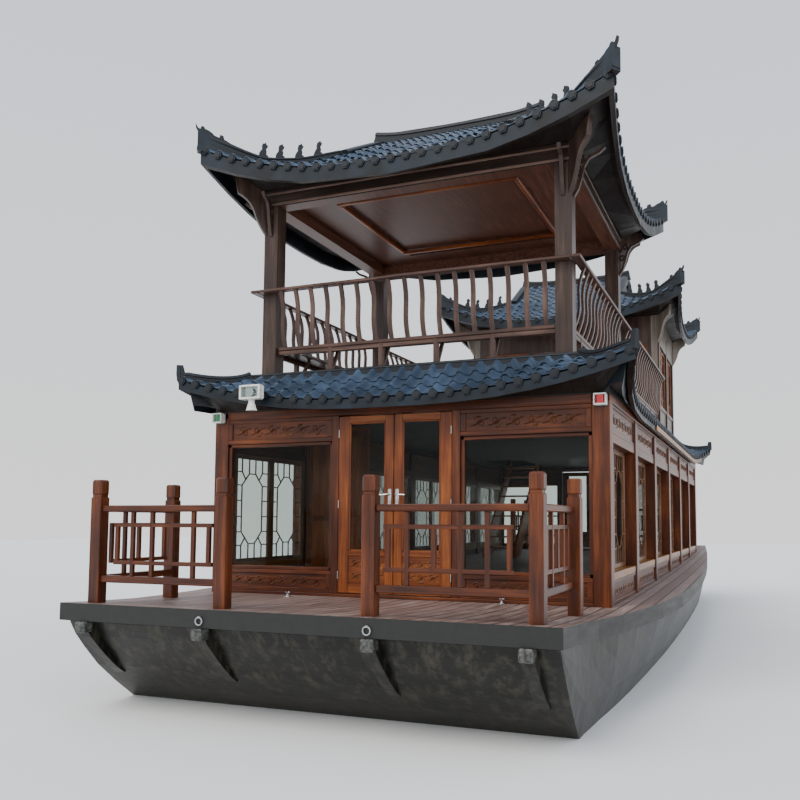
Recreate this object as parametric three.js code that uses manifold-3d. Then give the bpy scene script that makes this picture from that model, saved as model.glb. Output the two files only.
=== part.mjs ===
// A double-deck timber pleasure houseboat: a flat-bottomed steel hull, a long glazed saloon under a
// tiled skirt roof, an open pavilion over the bow half of the upper deck and a small cabin aft of it.
//
// Millimetres, +Z up. The bow points along -Y and port is +X. Heights are drawn from the deck at the
// foot of the saloon's front wall and lengths from that wall's face, then the whole boat is moved so
// that its origin is on the ground under the middle of the hull.

import * as THREE from 'three';
import { mergeVertices } from 'three/addons/utils/BufferGeometryUtils.js';
import Module from 'manifold-3d';

const wasm = await Module();
wasm.setup();

// ---------------------------------------------------------------- driving dimensions

const FIT = 0.3;                 // gap left between pieces that touch
const SWING = 5;                 // gap round a piece that turns

const HALF_BEAM = 2400;          // saloon, to the outer face of its posts
const BAY = 1880;                // post to post along the saloon
const BAYS = 6;
const SALOON = BAY * BAYS;       // saloon length
const POST = 185;                // saloon post, square
const WALL_TOP = 2160;           // top of the saloon walls

const BOW = -2250;               // fore end of the deck
const STERN = 13500;             // aft end of the deck
const DECK = 163;                // depth of the deck and its fascia band
const KEEL = -960;               // flat bottom of the hull

const UPPER = 2550;              // surface of the upper deck
const UPPER_HALF = 2055;         // half-width of the upper deck inside the skirt roof
const UPPER_END = 250;           // upper deck edge, in from the saloon's end walls
const FLOOR_PLATE = 2235;        // top of the plate that carries the upper deck on the walls

const CABIN_HALF = 1960;         // half-width of the pavilion and the aft cabin
const PAVILION = [310, 3570];    // pavilion, fore and aft faces of its posts
const AFT_CABIN = [8300, SALOON - 310];
const UPPER_POST = 190;
const BEAM = [4790, 5000];       // beam that carries the pavilion's roof
const RAIL_TOP = 3710;           // top of the bench backs round the upper deck
const SEAT_TOP = 3000;

// ---------------------------------------------------------------- materials

const paint = (color, roughness, metalness = 0) =>
  new THREE.MeshStandardMaterial({ color, roughness, metalness });

const hullPaint = paint(0x2a2b26, 0.55);
const planking = paint(0x6f625c, 0.7);
const varnish = paint(0x74391b, 0.4);
const darkTimber = paint(0x4a3a33, 0.5);
const tile = paint(0x3c4a5c, 0.45);
const glazing = paint(0x2f3a3c, 0.1);
const doorTimber = paint(0x86431f, 0.35);
const lampWhite = paint(0xe6e8e8, 0.35);
const lampRed = paint(0xc01838, 0.3);
const lampGreen = paint(0x18705a, 0.3);
const bronze = paint(0x8a6a34, 0.35, 1);

// ---------------------------------------------------------------- geometry helpers

// A closed geometry as a solid that can be joined and cut.
function solid(geometry) {
  const bare = geometry.clone();
  for (const name of Object.keys(bare.attributes)) {
    if (name !== 'position') bare.deleteAttribute(name);
  }
  const merged = mergeVertices(bare, 1e-3);
  return new wasm.Manifold(new wasm.Mesh({
    numProp: 3,
    vertProperties: new Float32Array(merged.attributes.position.array),
    triVerts: new Uint32Array(merged.index.array),
  }));
}

function geometryOf(piece) {
  const mesh = piece.getMesh();
  const geometry = new THREE.BufferGeometry();
  geometry.setAttribute('position', new THREE.BufferAttribute(mesh.vertProperties, 3));
  geometry.setIndex(new THREE.BufferAttribute(mesh.triVerts, 1));
  geometry.computeVertexNormals();
  return geometry;
}

// A box between two limits on each axis, in either order.
function box(x, y, z) {
  const size = [x, y, z].map(([a, b]) => Math.abs(b - a));
  const middle = [x, y, z].map(([a, b]) => (a + b) / 2);
  return solid(new THREE.BoxGeometry(...size).translate(...middle));
}

function cylinder(radius, length, axis, centre, sides = 24) {
  const geometry = new THREE.CylinderGeometry(radius, radius, length, sides);
  if (axis === 'z') geometry.rotateX(Math.PI / 2);
  return solid(geometry.translate(...centre));
}

const join = (pieces) => pieces.reduce((sum, piece) => sum.add(piece));
const cut = (piece, cutters) => cutters.reduce((rest, cutter) => rest.subtract(cutter), piece);

// An indexed mesh as a solid, turned inside out first if its faces point in.
function fromTriangles(points, triangles) {
  let volume = 0;
  for (const [a, b, c] of triangles) {
    volume += points[a].dot(new THREE.Vector3().crossVectors(points[b], points[c]));
  }
  const index = triangles.flatMap(([a, b, c]) => (volume > 0 ? [a, b, c] : [a, c, b]));
  const geometry = new THREE.BufferGeometry();
  const position = new Float32Array(points.flatMap((p) => [p.x, p.y, p.z]));
  geometry.setAttribute('position', new THREE.BufferAttribute(position, 3));
  geometry.setIndex(index);
  return solid(geometry);
}

// A closed outline in the two coordinates that show it best.
function flatten(outline) {
  const normal = new THREE.Vector3();
  outline.forEach((p, i) => {
    const q = outline[(i + 1) % outline.length];
    normal.add(new THREE.Vector3(
      (p.y - q.y) * (p.z + q.z), (p.z - q.z) * (p.x + q.x), (p.x - q.x) * (p.y + q.y)));
  });
  const [nx, ny, nz] = normal.toArray().map(Math.abs);
  if (nx >= ny && nx >= nz) return outline.map((p) => new THREE.Vector2(p.y, p.z));
  if (ny >= nz) return outline.map((p) => new THREE.Vector2(p.x, p.z));
  return outline.map((p) => new THREE.Vector2(p.x, p.y));
}

// A skin through like outlines one after another, closed at both ends.
function loft(outlines) {
  const count = outlines[0].length;
  const triangles = [];
  for (let ring = 0; ring + 1 < outlines.length; ring += 1) {
    for (let i = 0; i < count; i += 1) {
      const a = ring * count + i;
      const b = ring * count + ((i + 1) % count);
      triangles.push([a, b, b + count], [a, b + count, a + count]);
    }
  }
  const first = flatten(outlines[0]);
  const last = flatten(outlines.at(-1));
  const start = (outlines.length - 1) * count;
  const near = THREE.ShapeUtils.triangulateShape(first, []);
  const far = THREE.ShapeUtils.triangulateShape(last, []);
  // The two ends face opposite ways, so the near one is wound against its outline.
  const nearAlong = windingOf(outlines[0], near);
  const farAlong = windingOf(outlines.at(-1), far);
  for (const [a, b, c] of near) triangles.push(nearAlong ? [a, c, b] : [a, b, c]);
  for (const [a, b, c] of far) {
    triangles.push((farAlong ? [a, b, c] : [a, c, b]).map((corner) => start + corner));
  }
  return fromTriangles(outlines.flat(), triangles);
}

// True if the triangles run round the outline the same way as the outline's own points.
function windingOf(outline, triangles) {
  const normal = new THREE.Vector3();
  outline.forEach((p, i) => {
    normal.add(new THREE.Vector3().crossVectors(p, outline[(i + 1) % outline.length]));
  });
  const [a, b, c] = triangles[0].map((i) => outline[i]);
  const face = new THREE.Vector3().crossVectors(b.clone().sub(a), c.clone().sub(a));
  return face.dot(normal) > 0;
}

// A value read off a smooth curve through [position, value] pairs.
function smooth(points, at) {
  const last = points.length - 1;
  const found = points.findIndex(([position]) => position >= at);
  const i = Math.min(Math.max(found < 0 ? last : found, 1), last);
  const slope = (k) => {
    const a = points[Math.max(k - 1, 0)];
    const b = points[Math.min(k + 1, last)];
    return (b[1] - a[1]) / (b[0] - a[0]);
  };
  const [x0, v0] = points[i - 1];
  const [x1, v1] = points[i];
  const span = x1 - x0;
  const t = THREE.MathUtils.clamp((at - x0) / span, 0, 1);
  return v0 * (2 * t ** 3 - 3 * t ** 2 + 1) + slope(i - 1) * span * (t ** 3 - 2 * t ** 2 + t)
    + v1 * (3 * t ** 2 - 2 * t ** 3) + slope(i) * span * (t ** 3 - t ** 2);
}

const mirrored = (piece) => piece.mirror([1, 0, 0]);

// ---------------------------------------------------------------- the boat

const boat = new THREE.Group();

function piece(name, shape, material) {
  const mesh = new THREE.Mesh(geometryOf(shape), material);
  mesh.name = name;
  boat.add(mesh);
}

// Deck edge, as half-widths along the boat: square ends and a full middle.
const DECK_EDGE = [
  [BOW, 2430], [-1400, 2465], [-500, 2625], [1400, 2865], [3600, 2925],
  [6800, 2865], [10500, 2670], [STERN, 2440],
];
const STATIONS = [BOW, -1800, -1200, -600, 0, 800, 2000, 3600, 5400, 7200, 9000, 10800, 12200, STERN];

const deckHalf = (y) => smooth(DECK_EDGE, y);

// The deck rises a little towards the bow and more towards the stern.
const sheer = (y) => (y < 0 ? 72 * (y / BOW) ** 2 : 274 * (y / STERN) ** 2);

function deckSlab(raised = 0, depth = DECK) {
  return loft(STATIONS.map((y) => {
    const half = deckHalf(y);
    const top = sheer(y) + raised;
    const bottom = sheer(y) - depth;
    return [[half, top], [-half, top], [-half, bottom], [half, bottom]]
      .map(([x, z]) => new THREE.Vector3(x, y, z));
  }));
}

// What stands on the deck is cut to its rise.
const underDeck = deckSlab(FIT, 600);
const onDeck = (shape) => shape.subtract(underDeck);

// Mooring ring: an eye bolt on the fascia with a ring hanging in it, at the deck's fore end.
const RING_X = 820;
function mooringRing(side) {
  const at = [side * RING_X, BOW - 14, -30];
  const ring = solid(new THREE.TorusGeometry(34, 6, 6, 14).rotateX(Math.PI / 2).translate(...at));
  const bolt = cylinder(9, 30, 'y', [at[0], BOW - 10, at[2] + 34], 10);
  return ring.add(bolt);
}

// The deck is laid in three lengths, joined under the saloon's front wall and half way along it.
const DECK_JOINTS = [BOW, 0, 6000, STERN];
const DECK_NAMES = ['main_deck_fore', 'main_deck_middle', 'main_deck_aft'];
const slab = deckSlab();
DECK_NAMES.forEach((name, i) => {
  const reach = [DECK_JOINTS[i] - (i === 0 ? 10 : -FIT), DECK_JOINTS[i + 1] + (i === 2 ? 10 : 0)];
  const length = slab.intersect(box([-4000, 4000], reach, [-1000, 1000]));
  piece(name, i === 0 ? join([length, mooringRing(1), mooringRing(-1)]) : length, planking);
});

// Hull: a raked curved plate at the bow, flared sides, a flat bottom and a raked run under the stern.
const HULL_FORE = -2160;
const HULL_AFT = 13420;
const BOTTOM = [
  [HULL_FORE, -112], [-2080, -245], [-1790, -580], [-1570, -770], [-1327, KEEL],
];
const RUN = [
  [11700, KEEL], [12300, -800], [12800, -520], [13200, -260], [HULL_AFT, -60],
];
const CHINE = [
  [HULL_FORE, 2385], [-1327, 2345], [600, 2440], [4200, 2508], [9400, 2457], [HULL_AFT, 2330],
];
const HULL_INSET = 45;           // the hull's side stands in from the deck edge
// The hull takes every station of the deck that it carries, and more where its ends curve.
const HULL_STATIONS = [
  HULL_FORE, -2120, -2080, -1970, -1570, -1327, 11700, 12500, 12800, 13000, 13200, HULL_AFT,
  ...STATIONS.slice(1, -1),
].toSorted((a, b) => a - b);

function hullBottom(y) {
  if (y < BOTTOM.at(-1)[0]) return smooth(BOTTOM, y);
  if (y > RUN[0][0]) return smooth(RUN, y);
  return KEEL;
}

function hullSection(y) {
  const top = deckUnderside(y) - FIT;
  const bottom = Math.min(hullBottom(y), top - 5);
  const depth = (top - bottom) / (top - KEEL);
  const edge = deckHalf(y) - HULL_INSET;
  const chine = edge + (smooth(CHINE, y) - edge) * depth;
  const side = [0, 0.3, 0.65, 1].map((t) => [
    edge + (chine - edge) * t + 40 * depth * Math.sin(Math.PI * t),
    top + (bottom - top) * t,
  ]);
  const other = side.map(([x, z]) => [-x, z]).reverse();
  return [...side, ...other].map(([x, z]) => new THREE.Vector3(x, y, z));
}

// The deck's underside between its own stations, so that the hull's top meets it all along.
function deckUnderside(y) {
  const i = Math.max(STATIONS.findIndex((station) => station >= y), 1);
  const [a, b] = [STATIONS[i - 1], STATIONS[i]];
  const t = (y - a) / (b - a);
  return sheer(a) * (1 - t) + sheer(b) * t - DECK;
}

// Skid on the bow plate: square under the deck and running out to nothing down the plate.
function bowSkid(x) {
  const steps = 8;
  const outlines = [];
  for (let i = 0; i <= steps; i += 1) {
    const t = i / steps;
    const y = HULL_FORE + 430 * t ** 1.3;
    const z = smooth(BOTTOM, y);
    const proud = 118 * (1 - t) ** 0.8 + 4;
    outlines.push([
      [x - 55, y + 40, z - 6 + 30 * t], [x + 55, y + 40, z - 6 + 30 * t],
      [x + 55, y - proud, z - 6 - proud * 0.35 * t], [x - 55, y - proud, z - 6 - proud * 0.35 * t],
    ].map((p) => new THREE.Vector3(...p)));
  }
  return loft(outlines);
}

const SHAFT_Z = -700;
const PROPELLER_Y = 12940;

const sternTube = cylinder(45, 560, 'y', [0, PROPELLER_Y - 80 - 280, SHAFT_Z], 16);
const skeg = loft([11900, 12300, 12700].map((y) => {
  const top = hullBottom(y) + 60;
  const bottom = y > 12500 ? SHAFT_Z - 30 : -940;
  return [[25, top], [-25, top], [-25, bottom], [25, bottom]].map(([x, z]) => new THREE.Vector3(x, y, z));
}));
const shell = loft(HULL_STATIONS.map(hullSection));
const skids = [-2150, -830, 830, 2150].map(bowSkid);
piece('hull', join([shell, ...skids, skeg, sternTube]), hullPaint);

// ---------------------------------------------------------------- propeller and rudder

function propeller() {
  const hub = cylinder(48, 140, 'y', [0, PROPELLER_Y, SHAFT_Z], 20);
  const blades = [0, 1, 2].map((i) => {
    const blade = new THREE.Shape();
    blade.moveTo(-38, 20);
    blade.quadraticCurveTo(-95, 130, -30, 195);
    blade.quadraticCurveTo(0, 205, 30, 195);
    blade.quadraticCurveTo(95, 130, 38, 20);
    const geometry = new THREE.ExtrudeGeometry(blade, { depth: 12, bevelEnabled: false, curveSegments: 5 });
    geometry.translate(0, 0, -6);
    geometry.rotateX(Math.PI / 2);      // blade's own plane becomes x, z with its span along z
    geometry.rotateX(Math.PI);
    geometry.rotateZ(THREE.MathUtils.degToRad(28));
    geometry.rotateY((i * 2 * Math.PI) / 3);
    return solid(geometry.translate(0, PROPELLER_Y, SHAFT_Z));
  });
  return join([hub, ...blades]);
}
piece('propeller', propeller(), bronze);

const RUDDER_Y = 13130;
const rudderBlade = box([-14, 14], [RUDDER_Y - 75, RUDDER_Y + 270], [-900, -460]);
const stockTop = hullBottom(RUDDER_Y) - 25;
const stock = cylinder(28, stockTop + 860, 'z', [0, RUDDER_Y, (stockTop - 860) / 2], 16);
piece('rudder', rudderBlade.add(stock), hullPaint);

// ---------------------------------------------------------------- rails of the fore and aft decks

// One rail is an L of three posts, along the end of the deck and a little way down its side.
const RAIL_POST = 120;
const RAIL_POSTS = { inner: [740, 210], corner: [2186, 210], side: [2236, 1320] };

function deckRail(side, aft) {
  const alongDeck = (fromEnd) => (aft ? STERN - fromEnd : BOW + fromEnd);
  const lift = aft ? sheer(STERN) : sheer(BOW);
  const half = RAIL_POST / 2;
  const span = (a, b) => [side * a, side * b];
  const parts = Object.values(RAIL_POSTS).map(([x, fromEnd]) => {
    const y = alongDeck(fromEnd);
    return box(span(x - half, x + half), [y - half, y + half], [-100, lift + 1170]);
  });

  const { inner, corner, side: far } = RAIL_POSTS;
  const end = alongDeck(corner[1]);
  const bars = (z, depth, thick) => {
    const heights = [lift + z, lift + z + depth];
    parts.push(box(span(inner[0], corner[0]), [end - thick / 2, end + thick / 2], heights));
    parts.push(box(span(corner[0] - thick / 2 + 12, corner[0] + thick / 2 + 12),
      [end, alongDeck(far[1])], heights));
  };
  bars(860, 62, 70);
  bars(740, 40, 44);
  bars(380, 40, 44);
  bars(185, 66, 60);

  const width = corner[0] - inner[0];
  for (const at of [0.12, 0.25, 0.41, 0.59, 0.75, 0.88]) {
    const x = inner[0] + width * at;
    parts.push(box(span(x - 22, x + 22), [end - 22, end + 22], [lift + 200, lift + 880]));
  }
  for (const at of [0.28, 0.5, 0.72]) {
    const y = alongDeck(corner[1] + (far[1] - corner[1]) * at);
    parts.push(box(span(corner[0] - 10, corner[0] + 34), [y - 22, y + 22], [lift + 200, lift + 880]));
  }
  return onDeck(join(parts));
}
for (const [end, aft] of [['foredeck', false], ['aftdeck', true]]) {
  piece(`${end}_rail_port`, deckRail(1, aft), varnish);
  piece(`${end}_rail_starboard`, deckRail(-1, aft), varnish);
}

// ---------------------------------------------------------------- saloon side walls and windows

const SILL = [250, 330];         // ledge under the side windows
const HEAD = [1680, 1775];       // rail over them
const FRIEZE_TOP = 2078;
const postEdges = (i) => {
  if (i === 0) return [0, POST];
  if (i === BAYS) return [SALOON - POST, SALOON];
  return [i * BAY - POST / 2, i * BAY + POST / 2];
};

function sideWall() {
  const whole = [0, SALOON];
  const inside = HALF_BEAM - POST;
  const parts = [
    box([inside + 45, HALF_BEAM - 30], whole, [-100, SILL[0]]),
    box([inside + 10, HALF_BEAM - 15], whole, SILL),
    box([inside + 10, HALF_BEAM - 15], whole, HEAD),
    box([inside + 45, HALF_BEAM - 30], whole, [HEAD[1], FRIEZE_TOP]),
    box([inside, HALF_BEAM], whole, [FRIEZE_TOP, WALL_TOP]),
  ];
  for (let i = 0; i <= BAYS; i += 1) parts.push(box([inside, HALF_BEAM], postEdges(i), [-100, WALL_TOP]));
  return onDeck(join(parts));
}
piece('port_wall', sideWall(), varnish);
piece('starboard_wall', mirrored(sideWall()), varnish);

// A frame with panes set into both faces of its thickness, leaving glass in the middle.
// Its width runs along x and it is turned afterwards.
function glazedFrame(width, height, depth, border, panes) {
  const frame = box([0, width], [0, depth], [0, height]);
  const glass = 8;
  const step = (width - border) / panes;
  const pockets = [];
  for (let i = 0; i < panes; i += 1) {
    const across = [border + step * i, step * (i + 1)];
    for (const deep of [[-1, (depth - glass) / 2], [(depth + glass) / 2, depth + 1]]) {
      pockets.push(box(across, deep, [border, height - border]));
    }
  }
  return cut(frame, pockets);
}

// Two lattice sashes fill each bay, set back from the face of the posts.
function sideWindow(bay) {
  const [from, to] = [postEdges(bay)[1] + FIT, postEdges(bay + 1)[0] - FIT];
  const height = HEAD[0] - SILL[1] - 2 * FIT;
  return glazedFrame(to - from, height, 40, 55, 2)
    .rotate([0, 0, 90])
    .translate([HALF_BEAM - POST + 50, from, SILL[1] + FIT]);
}
for (let bay = 0; bay < BAYS; bay += 1) {
  piece(`port_window_${bay + 1}`, sideWindow(bay), varnish);
  piece(`starboard_window_${bay + 1}`, mirrored(sideWindow(bay)), varnish);
}

// ---------------------------------------------------------------- saloon end walls and doors

const PILLAR = [695, 785];       // door pillars, half-distances from the middle
const LINTEL = 2060;
const END_WALL = 120;            // thickness
const WINDOW = [285, 1770];      // fixed window beside the doors
const LEAF = [0, 45];            // door leaf, depth from the wall's outer face
const PANE = [104, 558];         // glass in a leaf, distances from the middle of the boat
const DOOR_TOP = 2045;

// Both end walls are drawn as the front one; the aft one is turned end for end.
const facingAft = (shape) => shape.mirror([0, 1, 0]).translate([0, SALOON, 0]);

function endWall(foot, threshold) {
  const reach = HALF_BEAM - POST - FIT;
  const deep = [0, END_WALL];
  const parts = [
    box([-reach, reach], deep, [LINTEL, WALL_TOP]),
    box([-reach, reach], deep, [foot, threshold]),
  ];
  for (const side of [1, -1]) {
    const bay = [side * PILLAR[1], side * reach];
    parts.push(box([side * PILLAR[0], side * PILLAR[1]], deep, [foot, LINTEL]));
    parts.push(box(bay, deep, [foot, threshold + 35]));
    parts.push(box(bay, [22, 98], [foot, WINDOW[0]]));
    parts.push(box(bay, [22, 98], [WINDOW[1], LINTEL]));
  }
  return join(parts);
}
const AFT_FLOOR = Math.ceil(sheer(SALOON));
piece('front_wall', onDeck(endWall(-60, 35)), varnish);
piece('aft_wall', onDeck(facingAft(endWall(AFT_FLOOR - 60, AFT_FLOOR + 35))), varnish);

function fixedWindow(sill) {
  const width = HALF_BEAM - POST - PILLAR[1] - 3 * FIT;
  return glazedFrame(width, WINDOW[1] - sill - 2 * FIT, 40, 45, 1)
    .translate([PILLAR[1] + FIT, 40, sill + FIT]);
}
piece('front_window_port', fixedWindow(WINDOW[0]), glazing);
piece('front_window_starboard', mirrored(fixedWindow(WINDOW[0])), glazing);
piece('aft_window_port', facingAft(fixedWindow(WINDOW[0])), glazing);
piece('aft_window_starboard', mirrored(facingAft(fixedWindow(WINDOW[0]))), glazing);

// A leaf of a pair of doors, glass above and a sunk panel below, hung on the pillar's side.
function doorLeaf({ from, to, foot, top, glassFoot, handle }) {
  const pane = [from + 99, to - 132];
  const deep = LEAF[1];
  const leaf = cut(box([from, to], LEAF, [foot, top]), [
    box(pane, [-1, 18], [glassFoot, top - 75]),
    box(pane, [26, deep + 1], [glassFoot, top - 75]),
    box(pane, [-1, 12], [foot + 95, glassFoot - 50]),
  ]);
  if (!handle) return leaf;
  const grip = [[from + 30, from + 52], [-62, -44], [handle, handle + 170]];
  const feet = [handle + 20, handle + 140].map((z) => box([from + 34, from + 48], [-50, 5], [z, z + 14]));
  return join([leaf, box(...grip), ...feet]);
}
const frontLeaf = doorLeaf({
  from: SWING, to: PILLAR[0] - SWING, foot: 45, top: DOOR_TOP, glassFoot: 515, handle: 1030,
});
const aftLeaf = doorLeaf({
  from: SWING, to: PILLAR[0] - SWING, foot: AFT_FLOOR + 50, top: DOOR_TOP, glassFoot: 600, handle: 1130,
});
piece('front_door_port', frontLeaf, doorTimber);
piece('front_door_starboard', mirrored(frontLeaf), doorTimber);
piece('aft_door_port', facingAft(aftLeaf), doorTimber);
piece('aft_door_starboard', mirrored(facingAft(aftLeaf)), doorTimber);

// ---------------------------------------------------------------- inside the saloon

// A panelled partition one bay in from the front, on the starboard side only.
const partition = box([-HALF_BEAM + POST + FIT, -1250], [BAY - 30, BAY + 30], [-60, WALL_TOP - FIT]);
piece('saloon_partition', onDeck(partition), doorTimber);

// Steep open stair up to the aft cabin, through a hatch in the upper deck.
const STAIR = { x: [-1720, -1020], fore: 8250, aft: 10230, steps: 11 };
const HATCH = [[-1790, -950], [AFT_CABIN[0] + 140, STAIR.aft + 70]];

function stair() {
  const foot = sheer(STAIR.fore);
  const rise = (UPPER - foot) / STAIR.steps;
  const run = (STAIR.aft - STAIR.fore) / (STAIR.steps - 1);
  const parts = [];
  for (let i = 1; i < STAIR.steps; i += 1) {
    const z = foot + rise * i;
    parts.push(box(STAIR.x, [STAIR.fore + run * (i - 1), STAIR.fore + run * i + 20], [z - 32, z]));
  }
  for (const x of [[STAIR.x[0], STAIR.x[0] + 45], [STAIR.x[1] - 45, STAIR.x[1]]]) {
    const side = new THREE.Shape();
    side.moveTo(STAIR.fore - 60, -100);
    side.lineTo(STAIR.fore + 240, -100);
    side.lineTo(STAIR.aft + 40, UPPER - rise - 220);
    side.lineTo(STAIR.aft + 40, UPPER - rise + 10);
    side.lineTo(STAIR.fore - 60, foot + rise * 0.7);
    const plank = new THREE.ExtrudeGeometry(side, { depth: x[1] - x[0], bevelEnabled: false });
    plank.rotateX(Math.PI / 2).rotateZ(Math.PI / 2);
    parts.push(solid(plank.translate(x[0], 0, 0)));
  }
  return onDeck(join(parts));
}
piece('saloon_stair', stair(), doorTimber);

// ---------------------------------------------------------------- upper deck

const upperDeck = join([
  box([-HALF_BEAM, HALF_BEAM], [0, SALOON], [WALL_TOP + FIT, FLOOR_PLATE]),
  box([-UPPER_HALF, UPPER_HALF], [UPPER_END, SALOON - UPPER_END], [FLOOR_PLATE - 20, UPPER]),
]);
piece('upper_deck', upperDeck.subtract(box(...HATCH, [WALL_TOP - 50, UPPER + 50])), planking);

// ---------------------------------------------------------------- skirt roof round the upper deck

const SKIRT_EAVE = 2200;         // upper edge of the tiles at the eave, away from the corners
const SKIRT_RIDGE = 2582;
const SKIRT_OUT = { x: 2475, y: 250 };   // eave, half-width and distance past the end walls
const CORNER_REACH = 2300;       // distance over which an eave rises to its corner
const SKIRT_LIFT = 330;
const SKIRT_FLARE = { x: 235, y: 70 };

// How far a point of an eave has climbed towards its corner, 0 in the middle and 1 at the tip.
const climb = (toCorner, reach = CORNER_REACH) => Math.max(0, 1 - toCorner / reach) ** 2.6;

// One run of the skirt roof between two corners, as a section carried along the eave.
// The run is drawn along +X with its eave towards -Y; half is its half-length at the eave.
function skirtRun(halfEave, halfInner, eaveY, innerY, wallY, flareAlong, flareOut) {
  const steps = 18;
  const outlines = [];
  for (let i = 0; i <= steps; i += 1) {
    const t = -Math.cos((Math.PI * i) / steps);
    const c = climb((1 - Math.abs(t)) * halfEave);
    const endGap = Math.sign(t) * Math.abs(t) * 0.35;
    const at = (y, z, lift) => {
      const out = THREE.MathUtils.clamp((innerY - y) / (innerY - eaveY), 0, 1);
      const half = halfInner + (halfEave - halfInner) * out;
      const x = t * half + Math.sign(t) * flareAlong * c * out ** 2 - endGap;
      return new THREE.Vector3(x, y - flareOut * c * out ** 2, z + SKIRT_LIFT * c * lift);
    };
    const rise = SKIRT_RIDGE - SKIRT_EAVE;
    const top = [0, 0.25, 0.5, 0.75, 1].map((s) =>
      at(eaveY + (innerY - eaveY) * s, SKIRT_EAVE + rise * s ** 1.15, (1 - s) ** 1.5));
    outlines.push([
      ...top,
      at(innerY, FLOOR_PLATE + FIT, 0),
      at(wallY - FIT, FLOOR_PLATE + FIT, 0),
      at(wallY - FIT, FLOOR_PLATE - 65, 0),
      at(eaveY + 40, FLOOR_PLATE - 65, 1),
      at(eaveY + 40, SKIRT_EAVE - 105, 1),
      at(eaveY, SKIRT_EAVE - 105, 1),
    ]);
  }
  return loft(outlines);
}

const frontSkirt = skirtRun(SKIRT_OUT.x, UPPER_HALF, -SKIRT_OUT.y, UPPER_END - FIT, 0,
  SKIRT_FLARE.x, SKIRT_FLARE.y);
const sideHalf = SALOON / 2;
const sideSkirt = skirtRun(sideHalf + SKIRT_OUT.y, sideHalf - UPPER_END, -SKIRT_OUT.x,
  -UPPER_HALF - FIT, -HALF_BEAM, SKIRT_FLARE.y, SKIRT_FLARE.x);
const aftSkirt = facingAft(frontSkirt);
piece('skirt_roof_front', frontSkirt, tile);
piece('skirt_roof_aft', aftSkirt, tile);
for (const [name, side] of [['port', 1], ['starboard', -1]]) {
  // Trimmed to the end runs at the mitres, a little clear of them every way.
  const run = sideSkirt.rotate([0, 0, 90 * side]).translate([0, sideHalf, 0]);
  const trims = [[frontSkirt, FIT], [aftSkirt, -FIT]].flatMap(([end, inward]) => [
    end.translate([side * FIT, inward, 0]), end.translate([0, 0, FIT]), end.translate([0, 0, -FIT])]);
  piece(`skirt_roof_${name}`, cut(run, trims), tile);
}

// ---------------------------------------------------------------- hipped and gabled upper roofs

const EAVE = 4930;               // tile edge at the middle of an eave
const FASCIA = 4760;             // lower edge of the eave board
const RIDGE = 6150;              // tile surface at the ridge
const GABLE = { half: 1130, drop: 1080, z: 5540 };   // gable's half-distance, its foot from the ridge
const CORNER_LIFT = 460;
const CORNER_FLARE = 125;

// Height of the tiles above the eave, by how far in a point is: 1 is level with the gable's foot.
const slope = (inward) => smooth([[0, 0], [0.5, 265], [1, GABLE.z - EAVE], [2.05, RIDGE - EAVE]], inward);

function upperRoof(centre, halfX, halfY) {
  const rimX = halfX - GABLE.half;
  const rimY = halfY - GABLE.drop;
  const soffitX = CABIN_HALF + 15;
  const soffitY = halfY - 440;
  const across = (half, stops) => {
    const positive = stops.filter((s) => s < half);
    return [-half, ...positive.map((s) => -s), 0, ...positive.toReversed(), half];
  };
  const xs = across(halfX, [halfX - 45, halfX - 60, soffitX, 1580, GABLE.half + 20, GABLE.half]);
  const ys = across(halfY, [halfY - 45, halfY - 60, soffitY, 1300, GABLE.drop, 540]);

  const lift = (x, y) => climb(halfX - Math.abs(x), halfX) * climb(halfY - Math.abs(y), halfY);
  const roofTop = (x, y) => {
    const u = (halfX - Math.abs(x)) / rimX;
    const v = (halfY - Math.abs(y)) / rimY;
    return EAVE + slope(Math.abs(x) <= GABLE.half ? v : Math.min(u, v, 1)) + CORNER_LIFT * lift(x, y);
  };
  const roofBottom = (x, y) => {
    const rim = Math.abs(x) > halfX - 51 || Math.abs(y) > halfY - 51;
    const fromBeam = Math.max(Math.abs(x) - soffitX, Math.abs(y) - soffitY, 0) / (halfX - soffitX);
    const soffit = BEAM[1] + FIT + CORNER_LIFT * lift(x, y) * Math.min(fromBeam, 1);
    return rim ? FASCIA + CORNER_LIFT * lift(x, y) : soffit;
  };
  const place = (x, y, z) => {
    const out = 1 + (CORNER_FLARE / halfX) * lift(x, y);
    return new THREE.Vector3(x * out, centre + y * out, z);
  };

  const points = [];
  for (const height of [roofTop, roofBottom]) {
    for (const y of ys) for (const x of xs) points.push(place(x, y, height(x, y)));
  }
  const columns = xs.length;
  const layer = columns * ys.length;
  const triangles = [];
  const quad = (a, b, c, d, crossed = false) =>
    triangles.push(...(crossed ? [[b, c, d], [b, d, a]] : [[a, b, c], [a, c, d]]));
  for (let j = 0; j + 1 < ys.length; j += 1) {
    for (let i = 0; i + 1 < columns; i += 1) {
      const a = j * columns + i;
      // Every quad is split along the diagonal that points to the middle, so all four quarters match.
      const crossed = (2 * i < columns - 1) !== (2 * j < ys.length - 1);
      quad(a, a + 1, a + 1 + columns, a + columns, crossed);
      quad(layer + a, layer + a + columns, layer + a + 1 + columns, layer + a + 1, crossed);
    }
    const west = j * columns;
    const east = west + columns - 1;
    quad(west, west + columns, layer + west + columns, layer + west);
    quad(east, layer + east, layer + east + columns, east + columns);
  }
  const last = (ys.length - 1) * columns;
  for (let i = 0; i + 1 < columns; i += 1) {
    quad(i, layer + i, layer + i + 1, i + 1);
    quad(last + i, last + i + 1, layer + last + i + 1, layer + last + i);
  }
  const body = fromTriangles(points, triangles);
  return join([body, ...ridges(centre, halfX, halfY, roofTop, place)]);
}

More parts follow.
